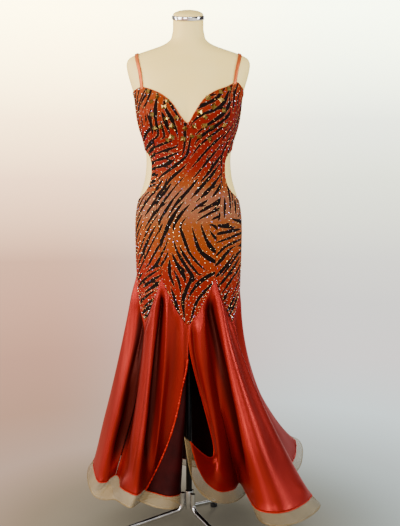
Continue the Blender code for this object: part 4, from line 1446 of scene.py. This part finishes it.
def build_form():
    heights = np.linspace(FORM_TOP, FORM_BOTTOM, FORM_ROWS)
    points = body(*np.meshgrid(np.linspace(0.0, 360.0, FORM_COLUMNS), heights))
    tilted = smooth_step((points[..., 2] - NECK_TILT_FROM) / (FORM_TOP - NECK_TILT_FROM))
    points[..., 2] += points[..., 1] * math.tan(NECK_TILT) * tilted
    shell = grid_object(points, points[..., :2])
    select_only(shell)
    bpy.ops.object.mode_set(mode="EDIT")
    bpy.ops.mesh.select_all(action="SELECT")
    bpy.ops.mesh.remove_doubles(threshold=0.0001)
    bpy.ops.mesh.fill_holes(sides=0)
    bpy.ops.object.mode_set(mode="OBJECT")
    shell.data.materials.append(FORM)
    shell.data.shade_smooth()
    return finish_piece(shell, "form_shell", "form_torso")


def strap_end(turn, edge, width_turn):
    """The end row of a strap, on the cloth just under a top edge."""
    turns = turn + width_turn * np.linspace(-0.5, 0.5, STRAP_COLUMNS)
    edge_turns = from_front(turns) if edge is BAND_TOP else turns
    return body(turns, edge_height(edge, edge_turns) - STRAP_LAP, CLEARANCE + CLOTH_WALL + STRAP_LIFT)


def strap_row(tree, point, way):
    """A row across a strap on the form's surface, a little crowned."""
    normal = np.array(tree.find_nearest(Vector(point + AXIS))[1])
    across = unit(np.cross(way, normal))
    row = []
    for share in np.linspace(-0.5, 0.5, STRAP_COLUMNS):
        found, face_normal = tree.find_nearest(Vector(point + AXIS + across * share * STRAP_WIDTH))[:2]
        crown = STRAP_CROWN * (1 - (2 * share) ** 4)
        row.append(np.array(found) - AXIS + np.array(face_normal) * (STRAP_CLEARANCE + crown))
    return row


def build_straps(shell):
    tree = BVHTree.FromObject(shell, bpy.context.evaluated_depsgraph_get())
    for name, side in (("left", -1), ("right", 1)):
        front = strap_end(side * STRAP_FRONT_TURN, NECKLINE, STRAP_WIDTH_TURN)
        back = strap_end(side * STRAP_BACK_TURN, BAND_TOP, -STRAP_WIDTH_TURN)
        over = [(side * right, behind, height) for right, behind, height in STRAP_OVER]
        rough = np.array([front[STRAP_COLUMNS // 2], *over, back[STRAP_COLUMNS // 2]])
        along = distance_along(rough)
        places = np.linspace(0.0, along[-1], STRAP_ROWS)
        middle = np.stack([curve(places, along, rough[:, axis]) for axis in range(3)], axis=-1)
        steps = zip(middle, middle[1:], middle[2:])
        rows = [strap_row(tree, point, after - before) for before, point, after in steps]
        strip = np.array([front, *rows, back])[::-1]
        made = grid_object(strip, cloth_places(strip))
        give_wall(made, STRAP_WALL, 1.0, STRAP_SATIN)
        finish_piece(made, f"strap_{name}_satin", f"strap_{name}")


def settle(made):
    """Puts the object's place into its mesh, with its modifiers applied."""
    select_only(made)
    for modifier in list(made.modifiers):
        bpy.ops.object.modifier_apply(modifier=modifier.name)
    bpy.ops.object.transform_apply(location=True, rotation=True, scale=True)


def round_piece(radius, height, middle, look, tilt=0.0, edge=0.001, sides=96):
    """A turned cylinder with softened edges, its middle at that point of the form's frame."""
    deselect()
    bpy.ops.mesh.primitive_cylinder_add(vertices=sides, radius=radius, depth=height)
    made = bpy.context.object
    made.rotation_euler = (tilt, 0.0, 0.0)
    made.location = np.asarray(middle) + AXIS
    bevel = made.modifiers.new("edge", "BEVEL")
    bevel.width = edge
    bevel.segments = 4
    bevel.limit_method = "ANGLE"
    settle(made)
    bpy.ops.object.shade_smooth_by_angle(angle=math.radians(35))
    made.data.materials.append(look)
    return made


def build_neck():
    way = np.array([0.0, -math.sin(NECK_TILT), math.cos(NECK_TILT)])
    neck_top = np.array([0.0, 0.0, FORM_TOP])
    middle = neck_top + way * (SEAM + NECK_RING_HEIGHT / 2)
    ring = round_piece(NECK_RING_RADIUS, NECK_RING_HEIGHT, middle, CHROME, NECK_TILT, 0.0022)
    finish_piece(ring, "neck_ring_chrome", "form_neck_ring")
    deselect()
    bpy.ops.mesh.primitive_uv_sphere_add(segments=96, ring_count=48, radius=NECK_CAP_RADIUS)
    cap = bpy.context.object
    cap.scale = (1.0, 1.0, NECK_CAP_HEIGHT / NECK_CAP_RADIUS)
    bpy.ops.object.transform_apply(scale=True)
    bpy.ops.object.mode_set(mode="EDIT")
    bpy.ops.mesh.select_all(action="SELECT")
    bpy.ops.mesh.bisect(plane_co=(0, 0, 0.0001), plane_no=(0, 0, 1), use_fill=True, clear_inner=True)
    bpy.ops.object.mode_set(mode="OBJECT")
    cap.rotation_euler = (NECK_TILT, 0.0, 0.0)
    cap.location = neck_top + way * (NECK_RING_HEIGHT + 2 * SEAM) + AXIS
    settle(cap)
    bpy.ops.object.shade_smooth_by_angle(angle=math.radians(40))
    cap.data.materials.append(FORM)
    finish_piece(cap, "neck_cap_shell", "form_neck_cap")


def build_stand():
    bottom, top = HUB_TOP + SEAM, FORM_BOTTOM - SEAM
    pole = round_piece(POLE_RADIUS, top - bottom, (0, 0, (top + bottom) / 2), BLACK_STEEL, sides=64)
    finish_piece(pole, "pole_steel", "stand_pole")
    middle = (0, 0, (HUB_TOP + HUB_BOTTOM) / 2)
    hub = round_piece(HUB_RADIUS, HUB_TOP - HUB_BOTTOM, middle, CHROME, edge=0.002)
    finish_piece(hub, "hub_chrome", "stand_hub")
    start = HUB_RADIUS + LEG_RADIUS + SEAM
    bend = [
        (start + LEG_BEND * (1 - math.cos(angle)), LEG_BEND_TOP - LEG_BEND * math.sin(angle))
        for angle in np.radians(np.linspace(0.0, 72.0, 13))
    ]
    end = (FOOT_REACH, FOOT_HEIGHT + SEAM + LEG_RADIUS * LEG_FLAT)
    path = ((start, HUB_TOP - LEG_RADIUS), *bend, end)
    for number, turn in enumerate(LEG_TURNS, start=1):
        across, back = math.sin(math.radians(turn)), -math.cos(math.radians(turn))
        line = np.array([(across * reach, back * reach, height) for reach, height in path])
        leg = tube(f"leg_{number}", line, LEG_RADIUS, CHROME, sides=6)
        finish_piece(leg, f"leg_{number}_chrome", f"stand_leg_{number}")
        middle = (across * FOOT_REACH, back * FOOT_REACH, FOOT_HEIGHT / 2)
        foot = round_piece(FOOT_RADIUS, FOOT_HEIGHT, middle, RUBBER, edge=0.0018, sides=48)
        finish_piece(foot, f"foot_{number}_rubber", f"stand_foot_{number}")


# The studio
ROOM_LIGHT = 0.9
ROOM_BRIGHT_WAY = (-0.55, -0.25, 0.80)
ROOM_DIM = (92, 86, 84)
ROOM_BRIGHT = (250, 246, 240)
ROOM_DEPTH = 2.6
WALL_SIDE = 0.19
WALL_LIGHT = 13.0
WALL_FROM, WALL_BY = -0.122, 0.163
# The backdrop that the camera sees, from low to high, on its left and on its right: painted shade makes it
# darker towards the floor, and darker and browner on the left
WALL_SHADING_LEFT = (
    (0.00, (0.104, 0.058, 0.038, 1.0)),
    (0.33, (0.250, 0.154, 0.092, 1.0)),
    (0.57, (0.450, 0.308, 0.158, 1.0)),
    (1.00, (1.000, 0.808, 0.362, 1.0)),
)
WALL_SHADING_RIGHT = (
    (0.00, (0.119, 0.115, 0.104, 1.0)),
    (0.33, (0.179, 0.185, 0.146, 1.0)),
    (0.57, (0.254, 0.265, 0.215, 1.0)),
    (1.00, (0.615, 0.692, 0.462, 1.0)),
)
# Painted light: the floor glows though it is no lamp. Far out, its colours carry on the backdrop's painted
# shade, darker nearer the camera and browner on the left, and it lights the dress a little from below
FLOOR_GLOW = 2.0
FLOOR_GLOW_LEFT = (
    (0.00, (0.675, 0.375, 0.245, 1.0)),
    (0.16, (0.600, 0.320, 0.215, 1.0)),
    (0.38, (0.470, 0.250, 0.172, 1.0)),
    (0.60, (0.390, 0.225, 0.152, 1.0)),
    (0.77, (0.370, 0.250, 0.185, 1.0)),
    (0.91, (0.260, 0.180, 0.115, 1.0)),
)
FLOOR_GLOW_RIGHT = (
    (0.00, (0.775, 0.750, 0.675, 1.0)),
    (0.16, (0.675, 0.650, 0.615, 1.0)),
    (0.38, (0.650, 0.615, 0.595, 1.0)),
    (0.60, (0.540, 0.615, 0.615, 1.0)),
    (0.77, (0.355, 0.395, 0.385, 1.0)),
    (0.91, (0.268, 0.310, 0.300, 1.0)),
)
FLOOR_FADES_FROM = 0.2
FLOOR_FADED_BY = 0.9
FLOOR_SIZE = 14.0
FLOOR_NEAREST, FLOOR_FARTHEST = 0.35, 7.0
# Painted light: a faint glow on the floor near the stand, which lights the floor in the dress's shadow
FLOOR_FILL_GLOW = (0.020, 0.019, 0.016, 1.0)
BLACK = (0.0, 0.0, 0.0, 1.0)
CAMERA_PLACE = (0.035, -2.6, 1.2)
CAMERA_DOWN = math.radians(7.2)
PHOTO_HEIGHT = 526
CAMERA_FOCUS = 850.0
SENSOR = 36.0


def area_light(name, place, aim, size, power, color=(1.0, 1.0, 1.0)):
    light = bpy.data.lights.new(name, "AREA")
    light.shape = "RECTANGLE"
    light.size, light.size_y = size
    light.energy = power
    light.color = color
    made = new_object(name, light)
    made.location = place
    made.rotation_euler = (Vector(aim) - Vector(place)).to_track_quat("-Z", "Y").to_euler()


def build_floor():
    deselect()
    bpy.ops.mesh.primitive_plane_add(size=FLOOR_SIZE)
    floor = bpy.context.object
    floor.name = "studio_floor"
    look = Look("pale_floor")
    where = look.place()
    away = look.add("ShaderNodeVectorMath", {0: where}, operation="LENGTH").outputs["Value"]
    across = look.add("ShaderNodeSeparateXYZ", {0: where}).outputs[0]
    nearness = look.math("DIVIDE", 1.0, look.math("ADD", away, ROOM_DEPTH))
    side = look.spread(look.math("MULTIPLY", across, nearness), -WALL_SIDE, WALL_SIDE, smooth=True)
    near = look.spread(nearness, 1 / (ROOM_DEPTH + FLOOR_FARTHEST), 1 / (ROOM_DEPTH + FLOOR_NEAREST))
    # Painted light: the floor's glow, by its distance and its side
    glow = look.mix(side, look.ramp(near, FLOOR_GLOW_LEFT), look.ramp(near, FLOOR_GLOW_RIGHT))
    far = look.spread(away, FLOOR_FADES_FROM, FLOOR_FADED_BY, smooth=True)
    look.set(
        Base_Color=look.mix(far, look.patches(1.2, rgb(98, 92, 78), rgb(108, 103, 90)), BLACK),
        Roughness=0.9,
        # Painted light: the faint fill glow near the stand, and the glow farther out
        Emission_Color=look.mix(far, FLOOR_FILL_GLOW, glow),
        Emission_Strength=FLOOR_GLOW,
        Specular_IOR_Level=0.0,
    )
    floor.data.materials.append(look.block)


def build_room():
    room = Look("studio", bpy.data.worlds.new("studio"), "Background")
    way = room.place("Generated")
    toward = room.add("ShaderNodeVectorMath", {0: way, 1: ROOM_BRIGHT_WAY}, operation="DOT_PRODUCT")
    soft = room.ramp(toward.outputs["Value"], ((0.0, rgb(*ROOM_DIM)), (0.85, rgb(*ROOM_BRIGHT))))
    split = room.add("ShaderNodeSeparateXYZ", {0: way})
    rise = room.spread(split.outputs[2], WALL_FROM, WALL_BY)
    side = room.spread(split.outputs[0], -WALL_SIDE, WALL_SIDE, smooth=True)
    # The backdrop, with its painted shade low down and on the left
    wall = room.mix(side, room.ramp(rise, WALL_SHADING_LEFT), room.ramp(rise, WALL_SHADING_RIGHT))
    seen = room.add("ShaderNodeLightPath").outputs["Is Camera Ray"]
    strength = room.spread(seen, 0.0, 1.0, ROOM_LIGHT, WALL_LIGHT)
    bpy.context.scene.world = room.set(Color=room.mix(seen, soft, wall), Strength=strength)


def build_lights():
    area_light("window", (-2.4, -1.3, 1.7), (0.0, 0.0, 0.85), (1.2, 2.0), 88, (1.0, 0.94, 0.86))
    area_light("front", (0.7, -3.0, 2.3), (0.0, 0.0, 0.8), (1.2, 1.0), 48, (0.99, 0.98, 0.97))
    area_light("low", (-1.1, -2.9, 1.05), (-0.1, 0.0, 0.6), (1.1, 0.8), 42, (1.0, 0.95, 0.91))
    area_light("left", (-2.5, 0.3, 1.3), (-0.2, 0.0, 0.7), (0.6, 1.6), 32, (1.0, 0.86, 0.74))
    area_light("right", (2.4, -0.6, 1.8), (0.0, 0.0, 0.8), (0.6, 1.6), 52, (0.94, 0.97, 1.0))
    area_light("behind", (0.4, 2.6, 2.4), (0.0, 0.0, 0.9), (1.6, 1.2), 72)


def build_camera():
    data = bpy.data.cameras.new("camera")
    data.sensor_width = SENSOR
    data.lens = CAMERA_FOCUS / PHOTO_HEIGHT * SENSOR
    made = new_object("camera", data)
    made.location = np.array(CAMERA_PLACE) + AXIS
    made.rotation_euler = (math.pi / 2 - CAMERA_DOWN, 0.0, 0.0)
    bpy.context.scene.camera = made


def main():
    build_camera()
    build_floor()
    build_room()
    build_lights()
    shell = build_form()
    build_neck()
    build_stand()
    build_bodice()
    build_straps(shell)
    build_skirt()


main()
